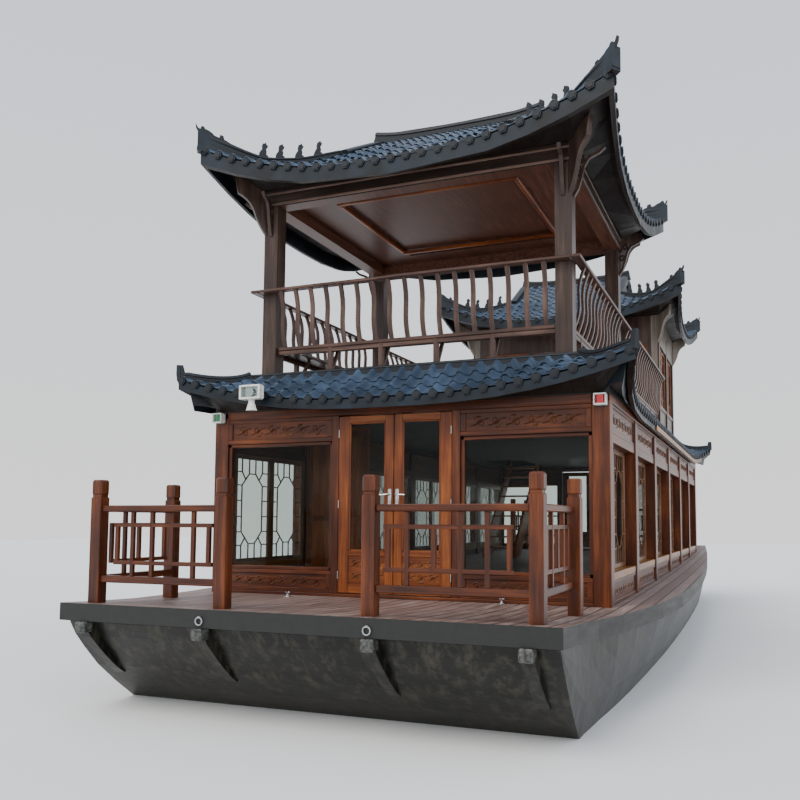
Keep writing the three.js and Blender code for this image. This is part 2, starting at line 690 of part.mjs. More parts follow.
// A square bar through a list of points, sunk into the roof below and standing above it.
function ridgeBar(path, width, below, above) {
  return loft(path.map((p, i) => {
    const before = path[Math.max(i - 1, 0)];
    const after = path[Math.min(i + 1, path.length - 1)];
    const across = new THREE.Vector3(before.y - after.y, after.x - before.x, 0).setLength(width / 2);
    const tall = typeof above === 'function' ? above(i / (path.length - 1)) : above;
    return [[1, -below], [-1, -below], [-1, tall], [1, tall]].map(([side, z]) =>
      p.clone().addScaledVector(across, side).add(new THREE.Vector3(0, 0, z)));
  }));
}

function ridges(centre, halfX, halfY, roofTop, place) {
  const bars = [];
  const crown = [-1, -0.75, 0, 0.75, 1].map((t) =>
    new THREE.Vector3(t * (GABLE.half + 60), centre, RIDGE + 70 * t ** 4));
  bars.push(ridgeBar(crown, 130, 120, 150));
  for (const sx of [1, -1]) {
    for (const sy of [1, -1]) {
      const verge = [0, 0.5, 1.03].map((t) => {
        const y = sy * GABLE.drop * t;
        return new THREE.Vector3(sx * (GABLE.half - 10), centre + y, roofTop(GABLE.half - 10, y));
      });
      bars.push(ridgeBar(verge, 120, 60, 90));
      const hip = [0.03, 0.33, 0.62, 1].map((t) => {
        const x = GABLE.half + (halfX - GABLE.half) * t;
        const y = GABLE.drop + (halfY - GABLE.drop) * t;
        return place(sx * x, sy * y, roofTop(x, y));
      });
      const tip = hip.at(-1).clone();
      tip.add(new THREE.Vector3(sx * 30, sy * 30, 50));
      bars.push(ridgeBar([...hip.slice(0, -1), tip], 116, 64, (t) => 80 + 110 * t ** 4));
    }
  }
  return bars;
}

const pavilionMiddle = (PAVILION[0] + PAVILION[1]) / 2;
const aftMiddle = (AFT_CABIN[0] + AFT_CABIN[1]) / 2;
const pavilionRoof = upperRoof(pavilionMiddle, 2400, 2090);
const aftRoof = upperRoof(aftMiddle, 2350, 1960);
piece('pavilion_roof', pavilionRoof, tile);
piece('aft_cabin_roof', aftRoof, tile);

// ---------------------------------------------------------------- pavilion

// Carved bracket that springs from a post's outer corner to the roof's corner, drawn outwards along +X.
function cornerBracket() {
  const outline = new THREE.Shape();
  outline.moveTo(-20, 4430);
  outline.quadraticCurveTo(90, 4560, 140, 4730);
  outline.quadraticCurveTo(190, 4870, 340, 4930);
  outline.lineTo(380, 5130);
  outline.lineTo(-20, 5060);
  const plate = new THREE.ExtrudeGeometry(outline, { depth: 60, bevelEnabled: false, curveSegments: 5 });
  plate.translate(0, 0, -30);
  plate.rotateX(Math.PI / 2);
  return solid(plate);
}

// A bracket at one corner of a room, turned to its diagonal and cut to the soffit above it.
function bracketAt(sx, sy, x, y, roof) {
  const diagonal = THREE.MathUtils.radToDeg(Math.atan2(sy, sx));
  const placed = cornerBracket().rotate([0, 0, diagonal]).translate([sx * x, y, 0]);
  return placed.subtract(roof.translate([0, 0, -FIT]));
}

const postX = [CABIN_HALF - UPPER_POST, CABIN_HALF];
for (const [side, sx] of [['port', 1], ['starboard', -1]]) {
  for (const [end, sy, y] of [['fore', -1, PAVILION[0]], ['aft', 1, PAVILION[1]]]) {
    const post = box([sx * postX[0], sx * postX[1]], [y, y - sy * UPPER_POST], [UPPER + FIT, BEAM[0] - FIT]);
    const bracket = bracketAt(sx, sy, CABIN_HALF, y, pavilionRoof)
      .subtract(box([-CABIN_HALF - FIT, CABIN_HALF + FIT], [PAVILION[0] - FIT, PAVILION[1] + FIT],
        [BEAM[0] - FIT, BEAM[1] + 400]));
    piece(`pavilion_post_${side}_${end}`, post.add(bracket), darkTimber);
  }
}

// Beams round the top of the posts with a boarded ceiling between them, sunk in two steps.
const ceiling = cut(box([-CABIN_HALF, CABIN_HALF], PAVILION, BEAM), [
  box([-postX[0], postX[0]], [PAVILION[0] + UPPER_POST, PAVILION[1] - UPPER_POST], [BEAM[0] - 10, 4930]),
  box([-1150, 1150], [850, PAVILION[1] - 540], [4900, 4965]),
]);
piece('pavilion_ceiling', ceiling, darkTimber);

// ---------------------------------------------------------------- bench backs round the upper deck

const SLAT = { pitch: 211, width: 30, deep: 26 };
const BOARD = { out: 110, deep: 35 };      // flat board along the top
const BACK_FOOT = 60;                      // foot of the slats, in from the post's outer face

// A leaning slat of a run along X whose outside is towards -Y; face is the posts' outer face.
function slat(x, face) {
  const half = SLAT.width / 2;
  const outline = (y, z) => [[-half, 0], [half, 0], [half, SLAT.deep], [-half, SLAT.deep]]
    .map(([dx, dy]) => new THREE.Vector3(x + dx, y + dy, z));
  return loft([outline(face + BACK_FOOT, SEAT_TOP - 20), outline(face - 75, RAIL_TOP - 20)]);
}

// One run of bench with its back: reach is where the top board ends, span where the seat does.
function bench({ reach, span, legs, face, skip = [] }) {
  const parts = [
    box(reach, [face - BOARD.out - 5, face - 5], [RAIL_TOP - BOARD.deep, RAIL_TOP]),
    box(span, [face + 40, face + 350], [SEAT_TOP - 50, SEAT_TOP]),
    box(span, [face + 40, face + 80], [SEAT_TOP - 100, SEAT_TOP - 40]),
  ];
  const count = Math.floor((span[1] - span[0]) / SLAT.pitch);
  const start = (span[0] + span[1] - count * SLAT.pitch) / 2;
  for (let i = 0; i <= count; i += 1) {
    const x = Math.min(Math.max(start + i * SLAT.pitch, span[0] + 20), span[1] - 20);
    if (!skip.some(([a, b]) => x > a - 20 && x < b + 20)) parts.push(slat(x, face));
  }
  for (const x of legs) {
    parts.push(box([x - 28, x + 28], [face + 44, face + 100], [UPPER + FIT, SEAT_TOP - 20]));
  }
  const posts = skip.map((post) => box([post[0] - FIT, post[1] + FIT],
    [face - FIT, face + UPPER_POST + FIT], [UPPER, SEAT_TOP + 20]));
  return cut(join(parts), posts);
}

const frontBench = bench({
  reach: [-CABIN_HALF - 4.7, CABIN_HALF + 4.7],
  span: [-postX[0] + FIT, postX[0] - FIT],
  legs: [-1036, -350, 350, 1036],
  face: PAVILION[0],
});
piece('bench_front', frontBench, darkTimber);

const sideBench = bench({
  reach: [PAVILION[0] - BOARD.out - 5, AFT_CABIN[0] - SWING],
  span: [PAVILION[0] + 350 + FIT, AFT_CABIN[0] - SWING],
  legs: Array.from({ length: 11 }, (_, i) => PAVILION[0] + 690 + i * 690),
  face: -CABIN_HALF,
  skip: [[PAVILION[1] - UPPER_POST, PAVILION[1]]],
});
piece('bench_port', sideBench.rotate([0, 0, 90]), darkTimber);
piece('bench_starboard', mirrored(sideBench.rotate([0, 0, 90])), darkTimber);

// ---------------------------------------------------------------- aft cabin

const CABIN_POST = 150;
const CABIN_SILL = 3200;
const CABIN_HEAD = 4420;
const CABIN_WALL = 70;

// A side wall: posts, a pale panel under the sill and two window openings.
function cabinSide() {
  const [fore, aft] = AFT_CABIN;
  const middle = (fore + aft) / 2;
  const outer = [CABIN_HALF - CABIN_POST, CABIN_HALF];
  const thin = [CABIN_HALF - 25 - CABIN_WALL, CABIN_HALF - 25];
  const foot = UPPER + FIT;
  return join([
    box(thin, AFT_CABIN, [foot, CABIN_SILL]),
    box(outer, AFT_CABIN, [CABIN_HEAD, BEAM[1] - FIT]),
    box([outer[0] + 20, CABIN_HALF], AFT_CABIN, [foot, foot + 200]),
    box([outer[0] + 20, CABIN_HALF - 5], AFT_CABIN, [CABIN_SILL - 60, CABIN_SILL]),
    ...[[fore, fore + CABIN_POST], [middle - 60, middle + 60], [aft - CABIN_POST, aft]]
      .map((y) => box(outer, y, [foot, BEAM[1] - FIT])),
    ...[[-1, fore], [1, aft]].map(([sy, y]) => bracketAt(1, sy, CABIN_HALF, y, aftRoof)),
  ]);
}
piece('aft_cabin_port_wall', cabinSide(), darkTimber);
piece('aft_cabin_starboard_wall', mirrored(cabinSide()), darkTimber);

const CABIN_DOOR = 600;          // half-width of the doorway
const CABIN_DOOR_TOP = 4400;

function cabinEnd(withDoor) {
  const reach = CABIN_HALF - CABIN_POST - FIT;
  const foot = UPPER + FIT;
  const deep = [0, 90];
  const wall = box([-reach, reach], deep, [foot, BEAM[1] - FIT]);
  const cutters = [1, -1].map((side) =>
    box([side * (CABIN_DOOR + 130), side * (reach - 90)], [-1, 91], [CABIN_SILL, CABIN_HEAD]));
  const middle = withDoor ? [foot - 1, CABIN_DOOR_TOP] : [CABIN_SILL, CABIN_HEAD];
  const half = withDoor ? CABIN_DOOR : CABIN_DOOR - 30;
  cutters.push(box([-half, half], [-1, 91], middle));
  return cut(wall, cutters).translate([0, AFT_CABIN[0], 0]);
}
const cabinTurned = (shape) => shape.mirror([0, 1, 0]).translate([0, AFT_CABIN[0] + AFT_CABIN[1], 0]);
piece('aft_cabin_front_wall', cabinEnd(true), darkTimber);
piece('aft_cabin_aft_wall', cabinTurned(cabinEnd(false)), darkTimber);

const cabinLeaf = doorLeaf({
  from: SWING, to: CABIN_DOOR - SWING, foot: UPPER + 15, top: CABIN_DOOR_TOP - 10,
  glassFoot: CABIN_SILL, handle: UPPER + 1000,
}).translate([0, AFT_CABIN[0], 0]);
piece('aft_cabin_door_port', cabinLeaf, doorTimber);
piece('aft_cabin_door_starboard', mirrored(cabinLeaf), doorTimber);

// ---------------------------------------------------------------- lamps

// Floodlight on a bracket in front of the fore eave.
const flood = join([
  box([-1750, -1470], [-460, -350], [2170, 2400]),
  box([-1700, -1520], [-365, -320], [2200, 2370]),
  box([-1640, -1580], [-330, -SKIRT_OUT.y - 35], [2110, 2260]),
]);
piece('searchlight', flood, lampWhite);

function sidelight() {
  return join([
    box([2250, 2380], [-95, -25], [2020, 2150]),
    box([2285, 2345], [-30, -FIT], [2050, 2120]),
    box([2268, 2362], [-101, -90], [2038, 2132]),
  ]);
}
piece('sidelight_port', sidelight(), lampRed);
piece('sidelight_starboard', mirrored(sidelight()), lampGreen);

// ---------------------------------------------------------------- standing on the ground

// Everything is moved so that the hull rests at height 0, with the origin under its middle.
const extent = new THREE.Box3().setFromObject(boat);
boat.position.set(0, -(extent.min.y + extent.max.y) / 2, -extent.min.z);

const root = new THREE.Group();
root.add(boat);
export default root;
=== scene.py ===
import math
import random

import bpy
from mathutils import Euler, Matrix, Vector


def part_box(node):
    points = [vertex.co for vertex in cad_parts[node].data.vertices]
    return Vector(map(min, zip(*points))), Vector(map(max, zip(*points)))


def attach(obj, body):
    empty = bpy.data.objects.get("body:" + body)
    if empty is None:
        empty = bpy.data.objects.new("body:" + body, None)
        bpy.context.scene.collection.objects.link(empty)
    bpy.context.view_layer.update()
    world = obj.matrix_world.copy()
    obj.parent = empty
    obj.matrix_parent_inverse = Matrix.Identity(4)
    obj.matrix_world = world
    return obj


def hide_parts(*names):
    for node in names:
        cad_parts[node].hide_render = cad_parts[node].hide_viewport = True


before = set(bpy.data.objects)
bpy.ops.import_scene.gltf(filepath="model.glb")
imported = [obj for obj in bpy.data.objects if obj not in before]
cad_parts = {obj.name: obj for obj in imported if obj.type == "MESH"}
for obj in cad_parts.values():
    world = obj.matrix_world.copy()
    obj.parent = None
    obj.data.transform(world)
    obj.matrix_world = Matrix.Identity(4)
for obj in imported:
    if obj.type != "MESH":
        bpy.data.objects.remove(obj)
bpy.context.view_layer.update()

# ---------------------------------------------------------------- view, floor and light
# The boat stands on a pale studio floor under a wide soft sky, seen from low ahead of its port bow.
# FACADE and DECK tie the boat's own measure, metres from the foot of the saloon's front wall, to the frame.

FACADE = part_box("front_wall")[0].y
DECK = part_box("upper_deck")[1].z - 2.55
SALOON = 11.28
HALF_BEAM = 2.4


def on_boat(x, y, z):
    return Vector((x, y + FACADE, z + DECK))


def linear(colour):
    """An sRGB hex colour as linear RGBA."""
    values = [int(colour[i:i + 2], 16) / 255 for i in (1, 3, 5)]
    return [v / 12.92 if v <= 0.04045 else ((v + 0.055) / 1.055) ** 2.4 for v in values] + [1]


def add(tree, kind, inputs=None, **settings):
    """One node, with its settings, a ramp's stops, and its inputs either linked or given a value."""
    made = tree.nodes.new(kind)
    for key, value in settings.items():
        if key == "stops":
            elements = made.color_ramp.elements
            while len(elements) < len(value):
                elements.new(0.5)
            for element, (place, colour) in zip(elements, value):
                element.position = place
                element.color = linear(colour) if isinstance(colour, str) else [colour] * 3 + [1]
        else:
            setattr(made, key, value)
    for key, value in (inputs or {}).items():
        if isinstance(value, bpy.types.NodeSocket):
            tree.links.new(value, made.inputs[key])
        else:
            made.inputs[key].default_value = value
    return made


camera = bpy.data.objects.new("camera", bpy.data.cameras.new("camera"))
camera.data.lens = 36.74
camera.data.sensor_width = 36
camera.data.shift_x, camera.data.shift_y = -0.06, 0.075
camera.matrix_world = (
    Matrix.Translation(on_boat(3.823, -8.241, 0.85))
    @ Matrix.Rotation(math.radians(21.07), 4, "Z")
    @ Matrix.Rotation(math.radians(90 + 4.315), 4, "X")
    @ Matrix.Rotation(math.radians(0.206), 4, "Z"))
bpy.context.scene.collection.objects.link(camera)
bpy.context.scene.camera = camera


def finish(name, base="#808080", **constants):
    """A material with one Principled shader; its plain values are set on the shader's own sockets."""
    material = bpy.data.materials.new(name)
    material.use_nodes = True
    tree = material.node_tree
    shader = tree.nodes["Principled BSDF"]
    shader.inputs["Base Color"].default_value = linear(base)
    for key, value in constants.items():
        shader.inputs[key.replace("_", " ").title().replace("Ior", "IOR")].default_value = value
    return material, tree, shader


floor_mesh = bpy.data.meshes.new("studio_floor")
floor_mesh.from_pydata([(-60, -60, 0), (60, -60, 0), (60, 60, 0), (-60, 60, 0)], [], [(0, 1, 2, 3)])
floor = bpy.data.objects.new("studio_floor", floor_mesh)
bpy.context.scene.collection.objects.link(floor)
# Matt pale studio paint.
floor_mesh.materials.append(finish("matt_pale_floor_paint", "#e9e9e7", Roughness=0.85)[0])

world = bpy.data.worlds.new("soft_sky")
bpy.context.scene.world = world
world.use_nodes = True
sky = world.node_tree
height = add(sky, "ShaderNodeSeparateXYZ", {0: add(sky, "ShaderNodeTexCoord").outputs["Generated"]})
blend_up = add(sky, "ShaderNodeValToRGB", {0: height.outputs["Z"]})
blend_up.color_ramp.elements[0].color = linear("#ffffff")
blend_up.color_ramp.elements[1].color = linear("#cfdff5")
sky.nodes["Background"].inputs["Strength"].default_value = 1.25
sky.links.new(blend_up.outputs[0], sky.nodes["Background"].inputs["Color"])

for name, turn, power, spread, tint in [
        ("high_key", (38, 0, -24), 2.2, 38, "#fff6ea"), ("port_fill", (62, 0, 62), 0.8, 60, "#eef3ff")]:
    lamp = bpy.data.lights.new(name, "SUN")
    lamp.energy, lamp.angle, lamp.color = power, math.radians(spread), linear(tint)[:3]
    lamp_object = bpy.data.objects.new(name, lamp)
    lamp_object.rotation_euler = [math.radians(v) for v in turn]
    bpy.context.scene.collection.objects.link(lamp_object)

# ---------------------------------------------------------------- hull
# Welded steel plate under one coat of olive-black satin paint, chafed in streaks down the sides and
# dusty low down. The bow plate carries four skids, whose square heads are rubbed back to grey.


# Chlorinated rubber paint over steel: satin, with dull chafing that catches the light.
hull_paint, tree, shader = finish("olive_black_satin_hull_paint", coat_weight=0.05, coat_roughness=0.3,
                                  Specular_IOR_Level=0.25)
point = add(tree, "ShaderNodeTexCoord").outputs["Object"]
streaks = add(tree, "ShaderNodeTexNoise",
    {"Vector": add(tree, "ShaderNodeMapping", {"Vector": point, "Scale": (5.0, 5.0, 0.9)}).outputs[0],
        "Scale": 2.2, "Detail": 6, "Roughness": 0.65}).outputs["Fac"]
patches = add(
    tree, "ShaderNodeTexNoise", {"Vector": point, "Scale": 1.1, "Detail": 5, "Roughness": 0.55}
).outputs["Fac"]
paint = add(
    tree, "ShaderNodeValToRGB", {0: patches}, stops=[(0.3, "#10110d"), (0.7, "#1b1c17")]).outputs["Color"]
chafed = add(tree, "ShaderNodeValToRGB", {0: streaks}, stops=[(0.48, 0.0), (0.78, 0.42)]).outputs["Color"]
paint = add(
    tree, "ShaderNodeMix", {0: chafed, 6: paint, 7: linear("#6b6455")}, data_type="RGBA").outputs[2]
low = add(tree, "ShaderNodeMapRange", {
    0: add(tree, "ShaderNodeSeparateXYZ", {0: point}).outputs["Z"], 1: 0.0, 2: 0.35, 3: 0.8, 4: 0.0})
dust = add(tree, "ShaderNodeMath",
    {0: low.outputs[0],
        1: add(
            tree, "ShaderNodeTexNoise", {"Vector": point, "Scale": 4.0, "Detail": 4, "Roughness": 0.55}
        ).outputs["Fac"]}, operation="MULTIPLY").outputs[0]
tree.links.new(
    add(tree, "ShaderNodeMix", {0: dust, 6: paint, 7: linear("#3d3a33")}, data_type="RGBA").outputs[2],
    shader.inputs["Base Color"])
tree.links.new(add(tree, "ShaderNodeMath",
        {0: add(tree, "ShaderNodeMath", {0: streaks, 1: 0.35}, operation="MULTIPLY").outputs[0], 1: 0.22},
        operation="ADD").outputs[0], shader.inputs["Roughness"])
tree.links.new(add(tree, "ShaderNodeBump",
        {"Height": add(tree, "ShaderNodeTexNoise",
                {"Vector": point, "Scale": 9.0, "Detail": 3, "Roughness": 0.55}).outputs["Fac"],
            "Distance": 0.004, "Strength": 1.0}).outputs[0], shader.inputs["Normal"])


def dress(node, *materials):
    """A CAD node keeps its shape and takes a finish."""
    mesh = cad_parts[node].data
    mesh.materials.clear()
    for material in materials:
        mesh.materials.append(material)


dress("hull", hull_paint)
dress("rudder", hull_paint)


class Work:
    """Members of one piece, gathered in the boat's own metres, with the grain's run kept as a UV map."""

    def __init__(self, seed=1):
        self.points, self.faces, self.grain = [], [], []
        self.chance = random.Random(seed)

    def skin(self, points, faces, grain):
        base = len(self.points)
        self.points += [Vector(p) for p in points]
        self.faces += [[base + i for i in face] for face in faces]
        self.grain += grain

    def convex(self, points, faces, matrix=None, along=0):
        """A convex member: its faces are turned outwards, and the grain runs along one local axis."""
        middle = sum((Vector(p) for p in points), Vector()) / len(points)
        out = []
        for face in faces:
            a, b, c = [Vector(points[i]) for i in face[:3]]
            flipped = (b - a).cross(c - b).dot((a + b + c) / 3 - middle) < 0
            out.append(list(reversed(face)) if flipped else list(face))
        shift = (self.chance.uniform(0, 9), self.chance.uniform(0, 9))
        others = [i for i in range(3) if i != along]
        grain = [(p[along] + shift[0], p[others[0]] + p[others[1]] + shift[1]) for p in points]
        self.skin([matrix @ Vector(p) for p in points] if matrix else points, out, grain)

    def bar(self, x, y, z, edge=0.004, matrix=None):
        """A straight square-edged member between limits on each axis, its edges eased by a small flat."""
        low, high = [Vector(side) for side in zip(*(sorted(span) for span in (x, y, z)))]
        size = high - low
        along = max(range(3), key=lambda i: size[i])
        edge = min(edge, min(size) * 0.4)
        signs = [(i, j, k) for i in (0, 1) for j in (0, 1) for k in (0, 1)]
        if not edge:
            points = [[(low, high)[s[i]][i] for i in range(3)] for s in signs]
            faces = []
            for axis in range(3):
                for side in (0, 1):
                    b, c = (axis + 1) % 3, (axis + 2) % 3
                    ring = [n for n, s in enumerate(signs) if s[axis] == side]
                    ring.sort(key=lambda n: (signs[n][b] ^ 0, signs[n][c] ^ signs[n][b]))
                    faces.append(ring)
            self.convex(points, faces, matrix, along)
            return
        points, index = [], {}
        for s in signs:
            for axis in range(3):
                index[s, axis] = len(points)
                points.append([
                    (low, high)[s[i]][i] + (0 if i == axis else (edge, -edge)[s[i]]) for i in range(3)])
        faces = []
        for axis in range(3):
            b, c = (axis + 1) % 3, (axis + 2) % 3
            for side in (0, 1):
                ring = []
                for i, j in ((0, 0), (1, 0), (1, 1), (0, 1)):
                    s = [0, 0, 0]
                    s[axis], s[b], s[c] = side, i, j
                    ring.append(index[tuple(s), axis])
                faces.append(ring)
            for i in (0, 1):
                for j in (0, 1):
                    near, far = [0, 0, 0], [0, 0, 0]
                    near[axis], near[b], near[c] = 0, i, j
                    far[axis], far[b], far[c] = 1, i, j
                    near, far = tuple(near), tuple(far)
                    faces.append([index[near, b], index[far, b], index[far, c], index[near, c]])
        faces += [[index[s, 0], index[s, 1], index[s, 2]] for s in signs]
        self.convex(points, faces, matrix, along)

    def beam(self, start, end, wide, deep, up=(0, 0, 1), edge=0.003):
        """A straight member between two points."""
        start, end = Vector(start), Vector(end)
        run = (end - start).normalized()
        side = run.cross(Vector(up)).normalized()
        top = side.cross(run)
        turn = Matrix((run, side, top)).transposed().to_4x4()
        self.bar((0, (end - start).length), (-wide / 2, wide / 2), (-deep / 2, deep / 2), edge,
                 Matrix.Translation(start) @ turn)

    def sweep(self, path, section, up=(0, 0, 1), scale=None):
        """A closed section of (side, up) points carried along a curve and closed at both ends."""
        path = [Vector(p) for p in path]
        count, points, grain, run = len(section), [], [], 0.0
        shift = self.chance.uniform(0, 9)
        for i, p in enumerate(path):
            ahead = (path[min(i + 1, len(path) - 1)] - path[max(i - 1, 0)]).normalized()
            side = ahead.cross(Vector(up)).normalized()
            top = side.cross(ahead)
            run += (p - path[i - 1]).length if i else 0
            grow = scale(i / (len(path) - 1)) if scale else (1, 1)
            for k, (a, b) in enumerate(section):
                points.append(p + side * a * grow[0] + top * b * grow[1])
                grain.append((run + shift, k * 0.02 + shift))
        faces = []
        for i in range(len(path) - 1):
            for k in range(count):
                a, b = i * count + k, i * count + (k + 1) % count
                faces.append([a, b, b + count, a + count])
        last = (len(path) - 1) * count
        faces += [list(reversed(range(count))), [last + k for k in range(count)]]
        area = sum(section[k][0] * section[(k + 1) % count][1] - section[(k + 1) % count][0] * section[k][1]
                   for k in range(count))
        if area > 0:
            faces = [list(reversed(face)) for face in faces]
        self.skin(points, faces, grain)

    def plate(self, outline, thick, matrix=None):
        """A flat cut-out of any outline, in the local x, z plane, thick along y."""
        count = len(outline)
        area = sum(outline[k][0] * outline[(k + 1) % count][1] - outline[(k + 1) % count][0] * outline[k][1]
                   for k in range(count))
        ring = outline if area > 0 else outline[::-1]
        points = [Vector((a, y, b)) for y in (-thick / 2, thick / 2) for a, b in ring]
        faces = [list(range(count)), list(reversed(range(count, 2 * count)))]
        faces += [[k, k + count, (k + 1) % count + count, (k + 1) % count] for k in range(count)]
        grain = [(p.x, p.z) for p in points]
        self.skin([matrix @ p for p in points] if matrix else points, faces, grain)

    def changed(self, move):
        """The same members mirrored by a move that turns them inside out."""
        other = Work()
        other.points = [Vector(move(p)) for p in self.points]
        other.faces = [list(reversed(face)) for face in self.faces]
        other.grain = list(self.grain)
        return other

    def to_starboard(self):
        return self.changed(lambda p: (-p.x, p.y, p.z))

    def to_stern(self):
        return self.changed(lambda p: (p.x, SALOON - p.y, p.z))

    def object(self, name, material, smooth=None, placed=True):
        mesh = bpy.data.meshes.new(name)
        points = [on_boat(*p) if placed else p for p in self.points]
        mesh.from_pydata(points, [], self.faces)
        layer = mesh.uv_layers.new(name="grain")
        for loop in mesh.loops:
            layer.data[loop.index].uv = self.grain[loop.vertex_index]
        mesh.materials.append(material)
        if smooth:
            mesh.shade_smooth()
            mesh.set_sharp_from_angle(angle=math.radians(smooth))
        made = bpy.data.objects.new(name, mesh)
        bpy.context.scene.collection.objects.link(made)
        return made


def oval(across, high, count=20):
    """A round or oval section for a sweep."""
    return [(across * math.cos(k * 2 * math.pi / count), high * math.sin(k * 2 * math.pi / count))
            for k in range(count)]


def fit(made, body="boat", replaced=()):
    """A finished piece rides on its body and stands for the nodes it replaces."""
    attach(made, body)
    if replaced:
        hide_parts(*replaced)


# Skid heads: steel blocks rubbed bright grey under thin paint.
worn_steel, tree, shader = finish("rubbed_grey_skid_paint", Roughness=0.55)
wear = add(tree, "ShaderNodeTexNoise",
    {"Vector": add(tree, "ShaderNodeTexCoord").outputs["Object"], "Scale": 30.0, "Detail": 4,
        "Roughness": 0.55}).outputs["Fac"]
tree.links.new(
    add(
        tree, "ShaderNodeValToRGB", {0: wear}, stops=[(0.38, "#20211f"), (0.66, "#5a5b56")]
    ).outputs["Color"], shader.inputs["Base Color"])
tree.links.new(
    add(tree, "ShaderNodeBump", {"Height": wear, "Distance": 0.002, "Strength": 1.0}).outputs[0],
    shader.inputs["Normal"])
heads = Work()
for x in (-2.15, -0.83, 0.83, 2.15):
    heads.bar((x - 0.058, x + 0.058), (-2.292, -2.17), (-0.2, -0.094), 0.012)
fit(heads.object("bow_skid_heads", worn_steel))

# ---------------------------------------------------------------- deck
# Ribbed hardwood boards laid fore and aft inside a black-painted steel edge band. Two eye bolts with
# rings hang on the band at the bow and two small cleats are screwed to the foredeck.

BOARD = 0.145          # board width
RIB = 0.029            # the real ribs are 7 mm apart, too fine to show, so they are drawn coarser


deck_boards_painted_sheen, tree, shader = finish("weathered_ribbed_deck_boards_painted_sheen", Specular_IOR_Level=0.5)
point = add(tree, "ShaderNodeTexCoord").outputs["Object"]
split = add(tree, "ShaderNodeSeparateXYZ", {0: point})
across = add(tree, "ShaderNodeMath", {0: split.outputs["X"], 1: BOARD}, operation="DIVIDE").outputs[0]
board = add(tree, "ShaderNodeMath", {0: across}, operation="FLOOR").outputs[0]
inside = add(tree, "ShaderNodeMath", {0: across}, operation="FRACT").outputs[0]
joint = add(tree, "ShaderNodeMath",
    {0: add(tree, "ShaderNodeMath",
            {0: add(tree, "ShaderNodeMath", {0: inside, 1: 0.5}, operation="SUBTRACT").outputs[0]},
            operation="ABSOLUTE").outputs[0], 1: 0.455}, operation="LESS_THAN").outputs[0]
rib = add(tree, "ShaderNodeMath", {0: split.outputs["X"], 1: RIB / 2}, operation="PINGPONG").outputs[0]
rib = add(tree, "ShaderNodeMath", {0: rib, 1: 2 / RIB}, operation="MULTIPLY").outputs[0]
tone = add(tree, "ShaderNodeTexWhiteNoise", {"W": board}, noise_dimensions="1D").outputs["Value"]
worn = add(tree, "ShaderNodeTexNoise",
    {"Vector": add(tree, "ShaderNodeMapping", {"Vector": point, "Scale": (9.0, 1.1, 9.0)}).outputs[0],
        "Scale": 1.6, "Detail": 6, "Roughness": 0.55}).outputs["Fac"]
wear_and_tone = add(tree, "ShaderNodeMath",
    {0: add(tree, "ShaderNodeMath", {0: worn, 1: 0.85}, operation="MULTIPLY").outputs[0],
        1: add(tree, "ShaderNodeMath", {0: tone, 1: 0.15}, operation="MULTIPLY").outputs[0]},
    operation="ADD").outputs[0]
# The board colours are set paler than bare boards: a painted sheen standing in for the deck's shine at a
# glancing view.
colour = add(tree, "ShaderNodeValToRGB", {0: wear_and_tone},
    stops=[(0.3, "#6a5046"), (0.55, "#917970"), (0.8, "#b4a198")]).outputs["Color"]
colour = add(tree, "ShaderNodeMix",
    {0: add(tree, "ShaderNodeMath", {0: rib, 1: 0.6}, operation="MULTIPLY").outputs[0], 6: colour,
        7: linear("#3c2c27")}, data_type="RGBA").outputs[2]
colour = add(
    tree, "ShaderNodeMix", {0: joint, 6: linear("#1d1512"), 7: colour}, data_type="RGBA").outputs[2]
ring_steel = add(
    tree, "ShaderNodeMath", {0: split.outputs["Y"], 1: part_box("foredeck_rail_port")[0].y - 0.152},
    operation="LESS_THAN").outputs[0]
# The band is on the deck's sides, where its surface is steep.
normal = add(tree, "ShaderNodeNewGeometry").outputs["True Normal"]
band = add(
    tree, "ShaderNodeMath", {0: add(tree, "ShaderNodeSeparateXYZ", {0: normal}).outputs["Z"], 1: 0.7},
    operation="LESS_THAN").outputs[0]
band_paint = add(tree, "ShaderNodeMix",
    {
        0: add(
            tree, "ShaderNodeTexNoise", {"Vector": point, "Scale": 14.0, "Detail": 4, "Roughness": 0.55}
        ).outputs["Fac"], 6: linear("#0e0f0d"), 7: linear("#1c1c19")}, data_type="RGBA").outputs[2]
colour = add(tree, "ShaderNodeMix", {0: band, 6: colour, 7: band_paint}, data_type="RGBA").outputs[2]
colour = add(
    tree, "ShaderNodeMix", {0: ring_steel, 6: colour, 7: linear("#9fa2a1")}, data_type="RGBA").outputs[2]
tree.links.new(colour, shader.inputs["Base Color"])
tree.links.new(add(tree, "ShaderNodeMath",
        {0: add(tree, "ShaderNodeMath", {0: worn, 1: 0.3}, operation="MULTIPLY").outputs[0], 1: 0.38},
        operation="ADD").outputs[0], shader.inputs["Roughness"])
tree.links.new(add(tree, "ShaderNodeBump",
        {"Height": add(tree, "ShaderNodeMath",
                {0: add(tree, "ShaderNodeMath", {0: rib, 1: joint}, operation="ADD").outputs[0],
                    1: add(tree, "ShaderNodeMath", {0: 1.0, 1: band}, operation="SUBTRACT").outputs[0]},
                operation="MULTIPLY").outputs[0], "Distance": 0.003, "Strength": 1.0}).outputs[0],
    shader.inputs["Normal"])
for node in ("main_deck_fore", "main_deck_middle", "main_deck_aft", "upper_deck"):
    dress(node, deck_boards_painted_sheen)

